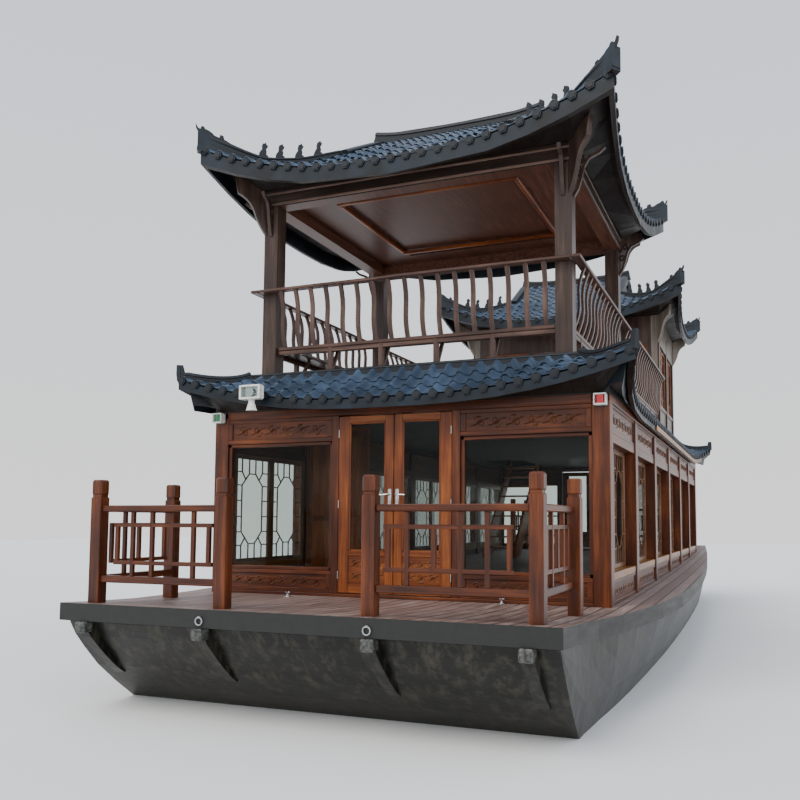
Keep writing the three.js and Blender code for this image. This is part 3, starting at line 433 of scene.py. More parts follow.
# Stainless steel, polished, with faint handling marks.
stainless, tree, shader = finish("polished_stainless_steel", "#c9cbcc", Metallic=1.0)
tree.links.new(add(tree, "ShaderNodeValToRGB",
        {
            0: add(tree, "ShaderNodeTexNoise",
                {"Vector": add(tree, "ShaderNodeTexCoord").outputs["Object"], "Scale": 60.0,
                    "Detail": 4, "Roughness": 0.55}).outputs["Fac"]}, stops=[(0.3, 0.16), (0.7, 0.34)]
    ).outputs["Color"], shader.inputs["Roughness"])
cleats = Work()
for x, y in ((-1.18, -0.25), (1.27, -0.05)):
    lift = 0.072 * (y / 2.25) ** 2 if y < 0 else 0
    cleats.bar((x - 0.035, x + 0.035), (y - 0.035, y + 0.035), (lift, lift + 0.008), 0.002)
    cleats.sweep([(x, y, lift + h) for h in (0.008, 0.03, 0.045, 0.06)],
                 oval(0.012, 0.012, 8),
                 up=(0, 1, 0), scale=lambda t: (1.4 - t * (1 - t) * 2.6, 1.4 - t * (1 - t) * 2.6))
    cleats.bar((x - 0.03, x + 0.03), (y - 0.01, y + 0.01), (lift + 0.045, lift + 0.06), 0.004)
fit(cleats.object("foredeck_cleats", stainless, smooth=40))

# ---------------------------------------------------------------- deck rails
# Hardwood rails stand in an L at each corner of the fore and aft decks: square posts with a groove
# under a bevelled head, a top and a bottom rail, and a halved lattice. Red-brown varnish.


def timber(name, dark, middle, pale, gloss=0.36, coat=0.12, run=None):
    """Varnished or stained wood. The grain runs along the piece's UV map, or along the object axis run."""
    material, tree, shader = finish(name, coat_weight=coat, coat_roughness=0.16, Specular_IOR_Level=0.28)
    if run is None:
        point = add(tree, "ShaderNodeTexCoord").outputs["UV"]
        fine = add(tree, "ShaderNodeMapping", {"Vector": point, "Scale": (2.4, 70.0, 1.0)}).outputs[0]
        broad = add(tree, "ShaderNodeMapping", {"Vector": point, "Scale": (0.7, 9.0, 1.0)}).outputs[0]
    else:
        point = add(tree, "ShaderNodeTexCoord").outputs["Object"]
        fine = add(tree, "ShaderNodeMapping",
            {"Vector": point, "Scale": [2.4 if axis == run else 70.0 for axis in "xyz"]}).outputs[0]
        broad = add(tree, "ShaderNodeMapping",
            {"Vector": point, "Scale": [0.7 if axis == run else 9.0 for axis in "xyz"]}).outputs[0]
    # Pores and growth rings are 2 to 6 mm apart, and drawn about twice as coarse so that they show.
    pores = add(
        tree, "ShaderNodeTexNoise", {"Vector": fine, "Scale": 1.0, "Detail": 5, "Roughness": 0.6}
    ).outputs["Fac"]
    rings = add(
        tree, "ShaderNodeTexNoise", {"Vector": broad, "Scale": 1.3, "Detail": 3, "Roughness": 0.55}
    ).outputs["Fac"]
    weather = add(tree, "ShaderNodeTexNoise",
        {"Vector": add(tree, "ShaderNodeTexCoord").outputs["Object"], "Scale": 1.7, "Detail": 4,
            "Roughness": 0.55}).outputs["Fac"]
    value = add(tree, "ShaderNodeMath",
        {0: add(tree, "ShaderNodeMath", {0: pores, 1: 0.4}, operation="MULTIPLY").outputs[0],
            1: add(tree, "ShaderNodeMath", {0: rings, 1: 0.6}, operation="MULTIPLY").outputs[0]},
        operation="ADD").outputs[0]
    value = add(tree, "ShaderNodeMath",
        {0: value,
            1: add(tree, "ShaderNodeMath",
                {0: add(tree, "ShaderNodeMath", {0: weather, 1: 0.5}, operation="SUBTRACT").outputs[0],
                    1: 0.35}, operation="MULTIPLY").outputs[0]}, operation="ADD").outputs[0]
    tree.links.new(
        add(
            tree, "ShaderNodeValToRGB", {0: value}, stops=[(0.28, dark), (0.5, middle), (0.74, pale)]
        ).outputs["Color"], shader.inputs["Base Color"])
    tree.links.new(add(tree, "ShaderNodeMath",
            {0: add(tree, "ShaderNodeMath", {0: weather, 1: 0.22}, operation="MULTIPLY").outputs[0],
                1: gloss - 0.08}, operation="ADD").outputs[0], shader.inputs["Roughness"])
    tree.links.new(
        add(tree, "ShaderNodeBump", {"Height": pores, "Distance": 0.0012, "Strength": 1.0}).outputs[0],
        shader.inputs["Normal"])
    return material


varnish = timber("red_brown_varnished_hardwood", "#210d05", "#4c220d", "#80421b")


FORE_RISE, AFT_RISE = 0.072, 0.274     # how far the deck rises to its ends


def deck_rail(aft):
    """The port rail of the foredeck, or of the aft deck, whose posts stand 0.2 m higher."""
    rail = Work(5)
    lift = AFT_RISE if aft else FORE_RISE
    end = -2.04
    for x, y in ((0.74, end), (2.186, end), (2.236, -0.93)):
        foot = AFT_RISE * ((SALOON - y) / 13.5) ** 2 if aft else min(
            lift - (0.05 if y > end else 0.008), lift * (y / 2.25) ** 2)
        rail.bar((x - 0.06, x + 0.06), (y - 0.06, y + 0.06), (foot, lift + 1.0), 0.006)
        rail.bar((x - 0.05, x + 0.05), (y - 0.05, y + 0.05), (lift + 0.99, lift + 1.03), 0.003)
        rail.bar((x - 0.06, x + 0.06), (y - 0.06, y + 0.06), (lift + 1.02, lift + 1.17), 0.016)
    inner, corner = 0.80, 2.126
    runs = ((0.86, 0.922, 0.07, 0.009), (0.185, 0.251, 0.06, 0.006))
    for low, high, thick, edge in runs:
        rail.bar((inner, corner), (end - thick / 2, end + thick / 2), (lift + low, lift + high), edge)
        rail.bar((2.2 - thick / 2, 2.2 + thick / 2), (end + 0.06, -0.99), (lift + low, lift + high), edge)
    stick = 0.019
    for z, x in ((lift + 0.735, (0.861, 1.99)), (lift + 0.378, (0.861, 1.99))):
        rail.bar(x, (end - 0.017, end + 0.017), (z - stick, z + stick), 0.003)
        rail.bar((2.183, 2.217), (end + 0.16, -1.06), (z - stick, z + stick), 0.003)
    full, short = (lift + 0.251, lift + 0.86), (lift + 0.378, lift + 0.735)
    for x, z in ((0.902, short), (1.073, full), (1.312, short), (1.545, full), (1.772, full), (1.956, short)):
        rail.bar((x - stick, x + stick), (end - 0.019, end + 0.019), z, 0.003)
    for y, z in ((-1.86, short), (-1.68, full), (-1.48, short), (-1.28, full), (-1.1, short)):
        rail.bar((2.181, 2.219), (y - stick, y + stick), z, 0.003)
    return rail


for end, aft in (("foredeck", False), ("aftdeck", True)):
    rail = deck_rail(aft)
    if aft:
        rail = rail.to_stern()
    for side, work in (("port", rail), ("starboard", rail.to_starboard())):
        made = work.object(f"{end}_rail_timber_{side}", varnish)
        fit(made, replaced=[f"{end}_rail_{side}"])

# ---------------------------------------------------------------- saloon side walls
# Each wall is six bays between 185 mm posts: a carved panel and a proud ledge below the windows, a
# head rail over them and a carved frieze under the top plate. The ledge is a paler ochre varnish.

BAY = 1.88
POST = 0.185
SILL, HEAD, FRIEZE = (0.25, 0.33), (1.68, 1.775), 2.078
ochre = timber("ochre_varnished_ledge", "#56310f", "#82501c", "#aa7630", 0.32)
carving = timber("carved_varnished_relief", "#291107", "#523018", "#80583a", 0.34, run="x")


def floor_at(y):
    return FORE_RISE * (y / 2.25) ** 2 if y < 0 else AFT_RISE * (y / 13.5) ** 2


def post_edges(i):
    middle = i * BAY
    if i == 0:
        return 0.0, POST
    if i == 6:
        return SALOON - POST, SALOON
    return middle - POST / 2, middle + POST / 2


def side_wall():
    wall = Work(11)
    inner = HALF_BEAM - POST
    panel, moulding = (inner + 0.045, HALF_BEAM - 0.03), (HALF_BEAM - 0.03, HALF_BEAM - 0.016)
    for i in range(7):
        near, far = post_edges(i)
        wall.bar((inner, HALF_BEAM), (near, far), (floor_at(near) - 0.02, 2.16), 0.007)
    for i in range(6):
        near, far = post_edges(i)[1], post_edges(i + 1)[0]
        foot = floor_at(far)
        wall.bar(panel, (near, far), (foot - 0.04, SILL[0]), 0)
        wall.bar((inner + 0.01, HALF_BEAM - 0.015), (near, far), HEAD, 0.005)
        wall.bar(panel, (near, far), (HEAD[1], FRIEZE), 0)
        for z0, z1 in ((foot + 0.0, foot + 0.035), (SILL[0] - 0.028, SILL[0]),
                       (HEAD[1], HEAD[1] + 0.03), (FRIEZE - 0.03, FRIEZE)):
            if z1 - z0 > 0.01 and z1 > foot:
                wall.bar(moulding, (near, far), (z0, z1), 0.003)
        for y in (near, far - 0.03):
            wall.bar(moulding, (y, y + 0.03), (foot + 0.03, SILL[0] - 0.02), 0.003)
            wall.bar(moulding, (y, y + 0.03), (HEAD[1] + 0.02, FRIEZE - 0.02), 0.003)
    wall.bar((inner, HALF_BEAM + 0.004), (0, SALOON), (FRIEZE, 2.16), 0.005)
    return wall


def side_ledge():
    ledge = Work(12)
    for i in range(6):
        near, far = post_edges(i)[1], post_edges(i + 1)[0]
        ledge.bar((HALF_BEAM - POST + 0.01, HALF_BEAM - 0.015), (near, far), SILL, 0.006)
    return ledge


for side in ("port", "starboard"):
    wall, ledge = side_wall(), side_ledge()
    if side == "starboard":
        wall, ledge = wall.to_starboard(), ledge.to_starboard()
    fit(wall.object(f"saloon_{side}_wall_timber", varnish), replaced=[f"{side}_wall"])
    fit(ledge.object(f"saloon_{side}_window_ledge", ochre))


def new_tree(name, inputs):
    """A geometry tree with named inputs; returns it with its input and output nodes."""
    tree = bpy.data.node_groups.new(name, "GeometryNodeTree")
    tree.interface.new_socket("Geometry", in_out="INPUT", socket_type="NodeSocketGeometry")
    for label, kind in inputs:
        tree.interface.new_socket(label, in_out="INPUT", socket_type=f"NodeSocket{kind}")
    tree.interface.new_socket("Geometry", in_out="OUTPUT", socket_type="NodeSocketGeometry")
    return tree, tree.nodes.new("NodeGroupInput").outputs, tree.nodes.new("NodeGroupOutput")


# Copies of one unit on marked points, each turned as its point says.
copies, given, out = new_tree("copies_on_points", [("Unit", "Object"), ("Finish", "Material")])
unit = add(copies, "GeometryNodeObjectInfo", {"Object": given["Unit"]})
turned = add(copies, "FunctionNodeEulerToRotation",
    {
        0: add(
            copies, "GeometryNodeInputNamedAttribute", {"Name": "turn"}, data_type="FLOAT_VECTOR"
        ).outputs["Attribute"]})
placed = add(copies, "GeometryNodeInstanceOnPoints",
    {"Points": given["Geometry"], "Instance": unit.outputs["Geometry"], "Rotation": turned.outputs[0],
        "Scale": add(
            copies, "GeometryNodeInputNamedAttribute", {"Name": "size"}, data_type="FLOAT_VECTOR"
        ).outputs["Attribute"]})
real = add(copies, "GeometryNodeRealizeInstances", {0: placed.outputs[0]})
coated = add(
    copies, "GeometryNodeSetMaterial", {"Geometry": real.outputs[0], "Material": given["Finish"]})
copies.links.new(coated.outputs[0], out.inputs[0])


def grown(name, mesh, tree, values, smooth=None, thickness=None):
    """The tree's result on a mesh, as a plain mesh object with nothing live on it."""
    source = bpy.data.objects.new(name + "_source", mesh)
    bpy.context.scene.collection.objects.link(source)
    modifier = source.modifiers.new("made", "NODES")
    modifier.node_group = tree
    for item in tree.interface.items_tree:
        if item.in_out == "INPUT" and item.name in values:
            modifier[item.identifier] = values[item.name]
    if thickness:
        wall = source.modifiers.new("wall", "SOLIDIFY")
        wall.thickness, wall.offset = thickness, -1
    evaluated = source.evaluated_get(bpy.context.evaluated_depsgraph_get())
    mesh = bpy.data.meshes.new_from_object(evaluated)
    mesh.name = name
    bpy.data.objects.remove(source)
    if smooth:
        mesh.shade_smooth()
        mesh.set_sharp_from_angle(angle=math.radians(smooth))
    made = bpy.data.objects.new(name, mesh)
    bpy.context.scene.collection.objects.link(made)
    return made


def copied(name, unit, material, spots, smooth=None):
    """spots are (point, turn) or (point, turn, size), with points in the boat's own metres."""
    mesh = bpy.data.meshes.new(name)
    mesh.from_pydata([on_boat(*spot[0]) for spot in spots], [], [])
    turns = mesh.attributes.new("turn", "FLOAT_VECTOR", "POINT")
    sizes = mesh.attributes.new("size", "FLOAT_VECTOR", "POINT")
    for i, spot in enumerate(spots):
        turns.data[i].vector = spot[1]
        sizes.data[i].vector = spot[2] if len(spot) > 2 else (1, 1, 1)
    made = grown(name, mesh, copies, {"Unit": unit, "Finish": material}, smooth)
    return made


# One turn of the carved vine: a stem that swings up and a scroll that curls back under it.
SCROLL = 0.15          # length of one turn of the vine


def vine_scroll():
    vine = Work(3)
    ridge = [(-0.005, 0.0), (0.0, 0.0065), (0.005, 0.0)]
    stem = [(SCROLL * (t - 0.5), 0, 0.028 * math.sin(math.pi * (t - 0.5))) for t in [k / 6 for k in range(7)]]
    vine.sweep(stem, ridge, up=(0, -1, 0))
    curl = []
    for k in range(11):
        angle = math.radians(200 - 48 * k)
        radius = 0.036 * (1 - k / 13)
        curl.append((0.012 + radius * math.cos(angle), 0, -0.012 + radius * math.sin(angle)))
    vine.sweep(curl, ridge, up=(0, -1, 0), scale=lambda t: (1 - 0.4 * t, 1 - 0.3 * t))
    leaf = [(-0.045, 0, 0.012), (-0.03, 0, 0.035), (-0.008, 0, 0.045), (0.012, 0, 0.042)]
    vine.sweep(leaf, ridge, up=(0, -1, 0), scale=lambda t: (2.2 * math.sin(math.pi * (0.1 + 0.85 * t)), 1))
    return vine.object("vine_scroll_unit", carving, placed=False)


scroll = vine_scroll()


def carved_run(start, length, z, facing, size=1.0):
    """Spots for a vine along one panel. facing turns the panel: 0 to the bow, 90 to port."""
    turn = math.radians(facing)
    count = max(2, round(length / (SCROLL * size)))
    step = length / count
    spots = []
    for k in range(count):
        along = (k + 0.5) * step
        spot = Vector(start) + Vector((math.cos(turn), math.sin(turn), 0)) * along
        flip = math.pi if k % 2 else 0.0
        spots.append(((spot.x, spot.y, z), (0, flip, turn), (size, size, size)))
    return spots


for side, facing, x in (("port", 90, HALF_BEAM - 0.03), ("starboard", -90, -HALF_BEAM + 0.03)):
    spots = []
    for i in range(6):
        near, far = post_edges(i)[1] + 0.12, post_edges(i + 1)[0] - 0.12
        start = (x, near if side == "port" else far, 0)
        spots += carved_run(start, far - near, (HEAD[1] + FRIEZE) / 2, facing, 1.25)
        low = (floor_at(far) + SILL[0]) / 2
        room = min(1.0, (SILL[0] - floor_at(far)) / 0.16)
        if room > 0.45:
            spots += carved_run(start, far - near, low, facing, 0.95 * room)
    fit(copied(f"saloon_{side}_carving", scroll, carving, spots))

# ---------------------------------------------------------------- saloon side windows
# Each bay holds two glazed sashes. A lattice of thin laths is pinned over the glass: long hexagons
# between ladders of short rungs, with upright bars above and below. Single clear panes.

# Float glass: clear with a faint grey-green body, sharp mirror-like shine at a glance.
glass = bpy.data.materials.new("clear_float_glass")
glass.use_nodes = True
tree = glass.node_tree
tree.nodes.remove(tree.nodes["Principled BSDF"])
shine = add(tree, "ShaderNodeBsdfPrincipled")
shine.inputs["Base Color"].default_value = linear("#10181a")
shine.inputs["Roughness"].default_value = 0.03
shine.inputs["Specular IOR Level"].default_value = 0.9
through = add(tree, "ShaderNodeBsdfTransparent", {"Color": linear("#eff3f1")})
edge_on = add(tree, "ShaderNodeLayerWeight", {"Blend": 0.12}).outputs["Fresnel"]
share = add(tree, "ShaderNodeMath",
    {0: add(tree, "ShaderNodeMath", {0: edge_on, 1: 0.6}, operation="MULTIPLY").outputs[0], 1: 0.07},
    operation="ADD").outputs[0]
both = add(tree, "ShaderNodeMixShader", {0: share, 1: through.outputs[0], 2: shine.outputs[0]})
tree.links.new(both.outputs[0], tree.nodes["Material Output"].inputs["Surface"])

# The laths are coloured paler than the wall timber: a painted reflection of the sky on them.
lattice_wood_painted_reflection = timber("brown_varnished_lattice_painted_reflection", "#3a2316", "#6e4a33", "#a08066", 0.34)


def sash(width, height, stile=0.055, deep=0.04):
    """A sash in the local x, z plane from its lower corner, facing -y, with its lattice."""
    made = Work(21)
    for x in ((0, stile), (width - stile, width)):
        made.bar(x, (0, deep), (0, height), 0.004)
    for z in ((0, stile), (height - stile, height)):
        made.bar((stile, width - stile), (0, deep), z, 0.004)
    w, h = width - 2 * stile, height - 2 * stile

    def lath(a, b, wide=0.013):
        points = [(stile + w * x, deep * 0.28, height - stile - h * z) for x, z in (a, b)]
        made.beam(points[0], points[1], wide, 0.012, up=(0, -1, 0), edge=0)

    for top in (True, False):
        def at(x, z):
            return x, z if top else 1 - z
        for x, end in ((0.18, 0.13), (0.40, 0.145), (0.60, 0.145), (0.82, 0.13)):
            lath(at(x, 0), at(x, end))
        lath(at(0, 0.13), at(0.18, 0.13))
        lath(at(0.82, 0.13), at(1, 0.13))
        lath(at(0.40, 0.145), at(0.60, 0.145))
        lath(at(0.40, 0.145), at(0.18, 0.265))
        lath(at(0.60, 0.145), at(0.82, 0.265))
        lath(at(0.18, 0.13), at(0.29, 0.205))
        lath(at(0.82, 0.13), at(0.71, 0.205))
    for x in (0.18, 0.82):
        lath((x, 0.265), (x, 0.735))
        far = 0 if x < 0.5 else 1
        for z in (0.265, 0.42, 0.58, 0.735):
            lath((x, z), (far, z))
    return made


clear = BAY - POST
half_bay = clear / 2
bay_sash = sash(half_bay - 0.001, HEAD[0] - SILL[1]).object("bay_sash_unit", lattice_wood_painted_reflection, placed=False)
end_sash = sash((BAY - POST * 1.5) / 2 - 0.001, HEAD[0] - SILL[1]).object(
    "end_bay_sash_unit", lattice_wood_painted_reflection, placed=False)
for side, facing, x in (("port", 90, 2.265), ("starboard", -90, -2.265)):
    turn = math.radians(facing)
    pieces = {"middle": [], "end": []}
    panes = Work(2)
    for i in range(6):
        near, far = post_edges(i)[1], post_edges(i + 1)[0]
        kind = "end" if i in (0, 5) else "middle"
        for k in range(2):
            step = (far - near) / 2
            y = near + step * k if side == "port" else near + step * (k + 1)
            pieces[kind].append(((x, y, SILL[1]), (0, 0, turn)))
        panes.bar((abs(x) - 0.024, abs(x) - 0.018), (near + 0.02, far - 0.02),
                  (SILL[1] + 0.02, HEAD[0] - 0.02), 0)
    names = [f"{side}_window_{i}" for i in range(1, 7)]
    fit(copied(f"saloon_{side}_sashes", bay_sash, lattice_wood_painted_reflection, pieces["middle"]),
        replaced=names[1:5])
    fit(copied(f"saloon_{side}_end_sashes", end_sash, lattice_wood_painted_reflection, pieces["end"]),
        replaced=[names[0], names[5]])
    if side == "starboard":
        panes = panes.to_starboard()
    fit(panes.object(f"saloon_{side}_panes", glass))

# ---------------------------------------------------------------- saloon end walls
# Framed walls 120 mm thick: two pillars at the doorway, a fixed pane each side in a moulded frame,
# a carved frieze over it and a carved panel below. The aft wall is the front one turned round.

PILLAR, LINTEL, REACH = (0.695, 0.785), 2.06, 2.2147
WINDOW = (0.285, 1.77)
threshold_of = {False: 0.035, True: 0.227}


def end_wall(aft):
    """The port half's members and both thresholds, drawn as the front wall."""
    wall = Work(31)
    foot = (0.192 if aft else 0.0)
    low = threshold_of[aft]
    wall.bar((-REACH, REACH), (0, 0.12), (LINTEL, 2.16), 0.006)
    wall.bar((-REACH, REACH), (-0.006, 0.12), (foot, low), 0.006)
    for side in (1, -1):
        bay = (side * PILLAR[1], side * REACH)
        wall.bar((side * PILLAR[0], side * PILLAR[1]), (-0.004, 0.12), (low, LINTEL), 0.006)
        wall.bar(bay, (0.022, 0.098), (low, WINDOW[0]), 0)
        wall.bar(bay, (0.022, 0.098), (WINDOW[1], LINTEL), 0)
        # Mouldings round the two carved panels.
        for z0, z1 in ((low, WINDOW[0]), (WINDOW[1], LINTEL)):
            wall.bar(bay, (0.004, 0.024), (z0, z0 + 0.05), 0.005)
            wall.bar(bay, (0.004, 0.024), (z1 - 0.045, z1), 0.005)
            for x in ((PILLAR[1], PILLAR[1] + 0.06), (REACH - 0.06, REACH)):
                wall.bar((side * x[0], side * x[1]), (0.004, 0.024), (z0 + 0.05, z1 - 0.045), 0.005)
        # Frame of the fixed pane.
        for z in ((WINDOW[0], WINDOW[0] + 0.04), (WINDOW[1] - 0.04, WINDOW[1])):
            wall.bar(bay, (0.03, 0.09), z, 0.005)
        for x in ((PILLAR[1], PILLAR[1] + 0.04), (REACH - 0.04, REACH)):
            wall.bar((side * x[0], side * x[1]), (0.03, 0.09), (WINDOW[0], WINDOW[1]), 0.005)
    return wall


for end, aft in (("front", False), ("aft", True)):
    wall = end_wall(aft)
    panes = Work(4)
    for side in (1, -1):
        panes.bar((side * (PILLAR[1] + 0.02), side * (REACH - 0.02)), (0.057, 0.063),
                  (WINDOW[0] + 0.02, WINDOW[1] - 0.02), 0)
    spots = []
    low = (threshold_of[aft] + WINDOW[0]) / 2
    y, facing = (SALOON - 0.022, 180) if aft else (0.022, 0)
    for side in (1, -1):
        span = (0.90, 2.10) if side > 0 else (-2.10, -0.90)
        start = (span[1] if aft else span[0], y, 0)
        spots += carved_run(start, 1.2, (WINDOW[1] + LINTEL) / 2 + 0.003, facing, 1.35)
        if not aft:
            spots += carved_run(start, 1.2, low, facing, 1.0)
    if aft:
        wall, panes = wall.to_stern(), panes.to_stern()
    fit(wall.object(f"{end}_wall_timber", varnish), replaced=[f"{end}_wall"])
    fit(panes.object(f"{end}_wall_panes", glass),
        replaced=[f"{end}_window_port", f"{end}_window_starboard"])
    fit(copied(f"{end}_wall_carving", scroll, carving, spots))

# ---------------------------------------------------------------- doors
# Three pairs of glazed timber leaves, orange-brown varnish, with a carved panel at the foot and a
# stainless lever on the meeting stile. Each leaf hangs on three stainless-barrelled hinges.

door_wood = timber("orange_brown_varnished_door", "#3a1807", "#6d3412", "#a05c26", 0.33)


def door_leaf(outer, foot, top, glass_foot, handle, panel=True):
    """One leaf of a pair in front of a wall, port side, as (timber, pane, metal)."""
    wood, pane, metal = Work(41), Work(42), Work(43)
    inner = 0.005
    across = (inner + 0.099, outer - 0.132)
    for x in ((inner, across[0]), (across[1], outer)):
        wood.bar(x, (0, 0.045), (foot, top), 0.005)
    for z in ((foot, foot + 0.095), (glass_foot - 0.05, glass_foot), (top - 0.075, top)):
        wood.bar(across, (0.0005, 0.0445), z, 0.004)
    wood.bar(across, (0.014, 0.034), (foot + 0.09, glass_foot - 0.04), 0)
    for z in ((glass_foot, glass_foot + 0.018), (top - 0.093, top - 0.075)):
        wood.bar(across, (0.008, 0.037), z, 0.003)
    for x in ((across[0], across[0] + 0.018), (across[1] - 0.018, across[1])):
        wood.bar(x, (0.008, 0.037), (glass_foot, top - 0.075), 0.003)
    pane.bar((across[0] + 0.005, across[1] - 0.005), (0.019, 0.025), (glass_foot + 0.01, top - 0.085), 0)
    if handle:
        x = inner + 0.041
        metal.bar((x - 0.02, x + 0.02), (-0.006, 0.002), (handle - 0.01, handle + 0.18), 0.004)
        metal.sweep([(x, -0.004, handle + 0.12), (x, -0.03, handle + 0.12), (x, -0.05, handle + 0.119),
                     (x + 0.02, -0.058, handle + 0.118), (x + 0.06, -0.058, handle + 0.114),
                     (x + 0.115, -0.056, handle + 0.112)],
                    oval(0.008, 0.008, 8),
                    up=(0, 0, 1))
        metal.bar((x - 0.008, x + 0.008), (-0.018, 0), (handle + 0.03, handle + 0.062), 0.006)
    for t in (0.1, 0.5, 0.9):
        z = foot + (top - foot) * t
        metal.sweep([(outer - 0.004, -0.006, z - 0.045 + k * 0.03) for k in range(4)],
                    oval(0.0045, 0.0045, 6),
                    up=(0, 1, 0))
    return wood, pane, metal


def door_pair(name, sizes, back=0.0, stern=False):
    """Both leaves of a pair. back is how far its wall stands behind the saloon's front wall."""
    for side in ("port", "starboard"):
        parts = door_leaf(**sizes)
        for part in parts:
            part.points = [p + Vector((0, back, 0)) for p in part.points]
        if side == "starboard":
            parts = [part.to_starboard() for part in parts]
        if stern:
            parts = [part.to_stern() for part in parts]
        body = f"{name}_door_{side}"
        fit(parts[0].object(f"{body}_timber", door_wood), body, replaced=[body])
        fit(parts[1].object(f"{body}_pane", glass), body)
        fit(parts[2].object(f"{body}_fittings", stainless, smooth=40), body)
        span = sizes["glass_foot"] - 0.05 - sizes["foot"] - 0.095
        if span < 0.2:
            continue
        middle = (sizes["glass_foot"] - 0.05 + sizes["foot"] + 0.095) / 2
        first, wide = 0.125, sizes["outer"] - 0.132 - 0.146
        facing, y = (180, SALOON - 0.014) if stern else (0, 0.014)
        rows = [middle - 0.07, middle + 0.07] if span < 0.4 else [middle - 0.1, middle, middle + 0.1]
        spots = []
        for row in rows:
            start = first if side == "port" else -first - wide
            if stern:
                start += wide
            spots += carved_run((start, y + back, 0), wide, row, facing, 1.0)
        fit(copied(f"{body}_carving", scroll, carving, spots), body)


door_pair("front", dict(outer=0.69, foot=0.045, top=2.045, glass_foot=0.515, handle=1.03))
door_pair("aft", dict(outer=0.69, foot=0.242, top=2.045, glass_foot=0.6, handle=1.13), stern=True)
door_pair("aft_cabin", dict(outer=0.595, foot=2.565, top=4.39, glass_foot=3.2, handle=3.55), back=8.3)

# ---------------------------------------------------------------- inside the saloon
# A panelled partition one bay in on the starboard side, and a steep open stair up to the cabin.
# Both are varnished like the doors, with a darker panel moulding.

inner_wood = timber("orange_varnished_panelling", "#572711", "#88461e", "#b36c34", 0.36, run="z")
dress("saloon_partition", inner_wood)
dress("saloon_stair", inner_wood)
trim = Work(51)
for y in (1.843, 1.911):
    for x in ((-2.2, -2.12), (-1.78, -1.70), (-1.35, -1.26)):
        trim.bar(x, (y, y + 0.006), (0.05, 2.1), 0.002)
    for z in ((0.05, 0.15), (0.85, 0.93), (2.02, 2.1)):
        trim.bar((-2.12, -1.35), (y, y + 0.0055), z, 0.002)
fit(trim.object("partition_mouldings", door_wood))

# ---------------------------------------------------------------- skirt roof
# Slate-blue synthetic resin tiles in sheets: barrel rows 190 mm apart in three stepped courses, over
# an eave board with a hexagonal cap under each barrel. A ridge bar rises to an upturned corner.

PITCH = 0.19           # barrel rows


def slate(name, dark, middle, pale, gloss):
    """Matt-glazed synthetic resin tile: even colour with cloudy weathering and grit, and a soft sheen."""
    material, tree, shader = finish(name, coat_weight=0.06, coat_roughness=0.35, Specular_IOR_Level=0.32)
    point = add(tree, "ShaderNodeTexCoord").outputs["Object"]
    cloud = add(
        tree, "ShaderNodeTexNoise", {"Vector": point, "Scale": 2.6, "Detail": 5, "Roughness": 0.6}
    ).outputs["Fac"]
    grit = add(
        tree, "ShaderNodeTexNoise", {"Vector": point, "Scale": 240.0, "Detail": 2, "Roughness": 0.55}
    ).outputs["Fac"]
    value = add(tree, "ShaderNodeMath",
        {0: add(tree, "ShaderNodeMath", {0: cloud, 1: 0.8}, operation="MULTIPLY").outputs[0],
            1: add(tree, "ShaderNodeMath", {0: grit, 1: 0.2}, operation="MULTIPLY").outputs[0]},
        operation="ADD").outputs[0]
    tree.links.new(
        add(
            tree, "ShaderNodeValToRGB", {0: value}, stops=[(0.22, dark), (0.52, middle), (0.86, pale)]
        ).outputs["Color"], shader.inputs["Base Color"])
    tree.links.new(add(tree, "ShaderNodeMath",
            {0: add(tree, "ShaderNodeMath", {0: cloud, 1: 0.3}, operation="MULTIPLY").outputs[0],
                1: gloss}, operation="ADD").outputs[0], shader.inputs["Roughness"])
    tree.links.new(
        add(tree, "ShaderNodeBump", {"Height": grit, "Distance": 0.0008, "Strength": 1.0}).outputs[0],
        shader.inputs["Normal"])
    return material


roof_tiles = slate("slate_blue_resin_tiles", "#1e2833", "#344253", "#5d7490", 0.24)
ridge_tiles = slate("dark_slate_ridge", "#0c1014", "#141a20", "#252d35", 0.34)

# The CAD's roofs are the boards under the tiles: slate edges, dark stained undersides.
under_tiles, tree, shader = finish("slate_edge_and_dark_soffit", Specular_IOR_Level=0.3)
normal = add(tree, "ShaderNodeNewGeometry").outputs["True Normal"]
down = add(
    tree, "ShaderNodeMath", {0: add(tree, "ShaderNodeSeparateXYZ", {0: normal}).outputs["Z"], 1: -0.35},
    operation="LESS_THAN").outputs[0]
point = add(tree, "ShaderNodeTexCoord").outputs["Object"]
board_lines = add(tree, "ShaderNodeMath",
    {0: add(tree, "ShaderNodeMath",
            {0: add(tree, "ShaderNodeSeparateXYZ", {0: point}).outputs["X"], 1: 0.06},
            operation="PINGPONG").outputs[0], 1: 0.004}, operation="LESS_THAN").outputs[0]
stain = add(tree, "ShaderNodeTexNoise",
    {"Vector": add(tree, "ShaderNodeMapping", {"Vector": point, "Scale": (4, 60, 60)}).outputs[0],
        "Scale": 1.0, "Detail": 4, "Roughness": 0.55}).outputs["Fac"]
soffit = add(
    tree, "ShaderNodeMix", {0: stain, 6: linear("#120d0b"), 7: linear("#261c17")}, data_type="RGBA"
).outputs[2]
soffit = add(
    tree, "ShaderNodeMix", {0: board_lines, 6: soffit, 7: linear("#0a0706")}, data_type="RGBA").outputs[2]
edge_tone = add(tree, "ShaderNodeValToRGB",
    {
        0: add(
            tree, "ShaderNodeTexNoise", {"Vector": point, "Scale": 3.0, "Detail": 4, "Roughness": 0.55}
        ).outputs["Fac"]}, stops=[(0.35, "#0e1317"), (0.7, "#1c2630")]).outputs["Color"]
tree.links.new(
    add(tree, "ShaderNodeMix", {0: down, 6: edge_tone, 7: soffit}, data_type="RGBA").outputs[2],
    shader.inputs["Base Color"])
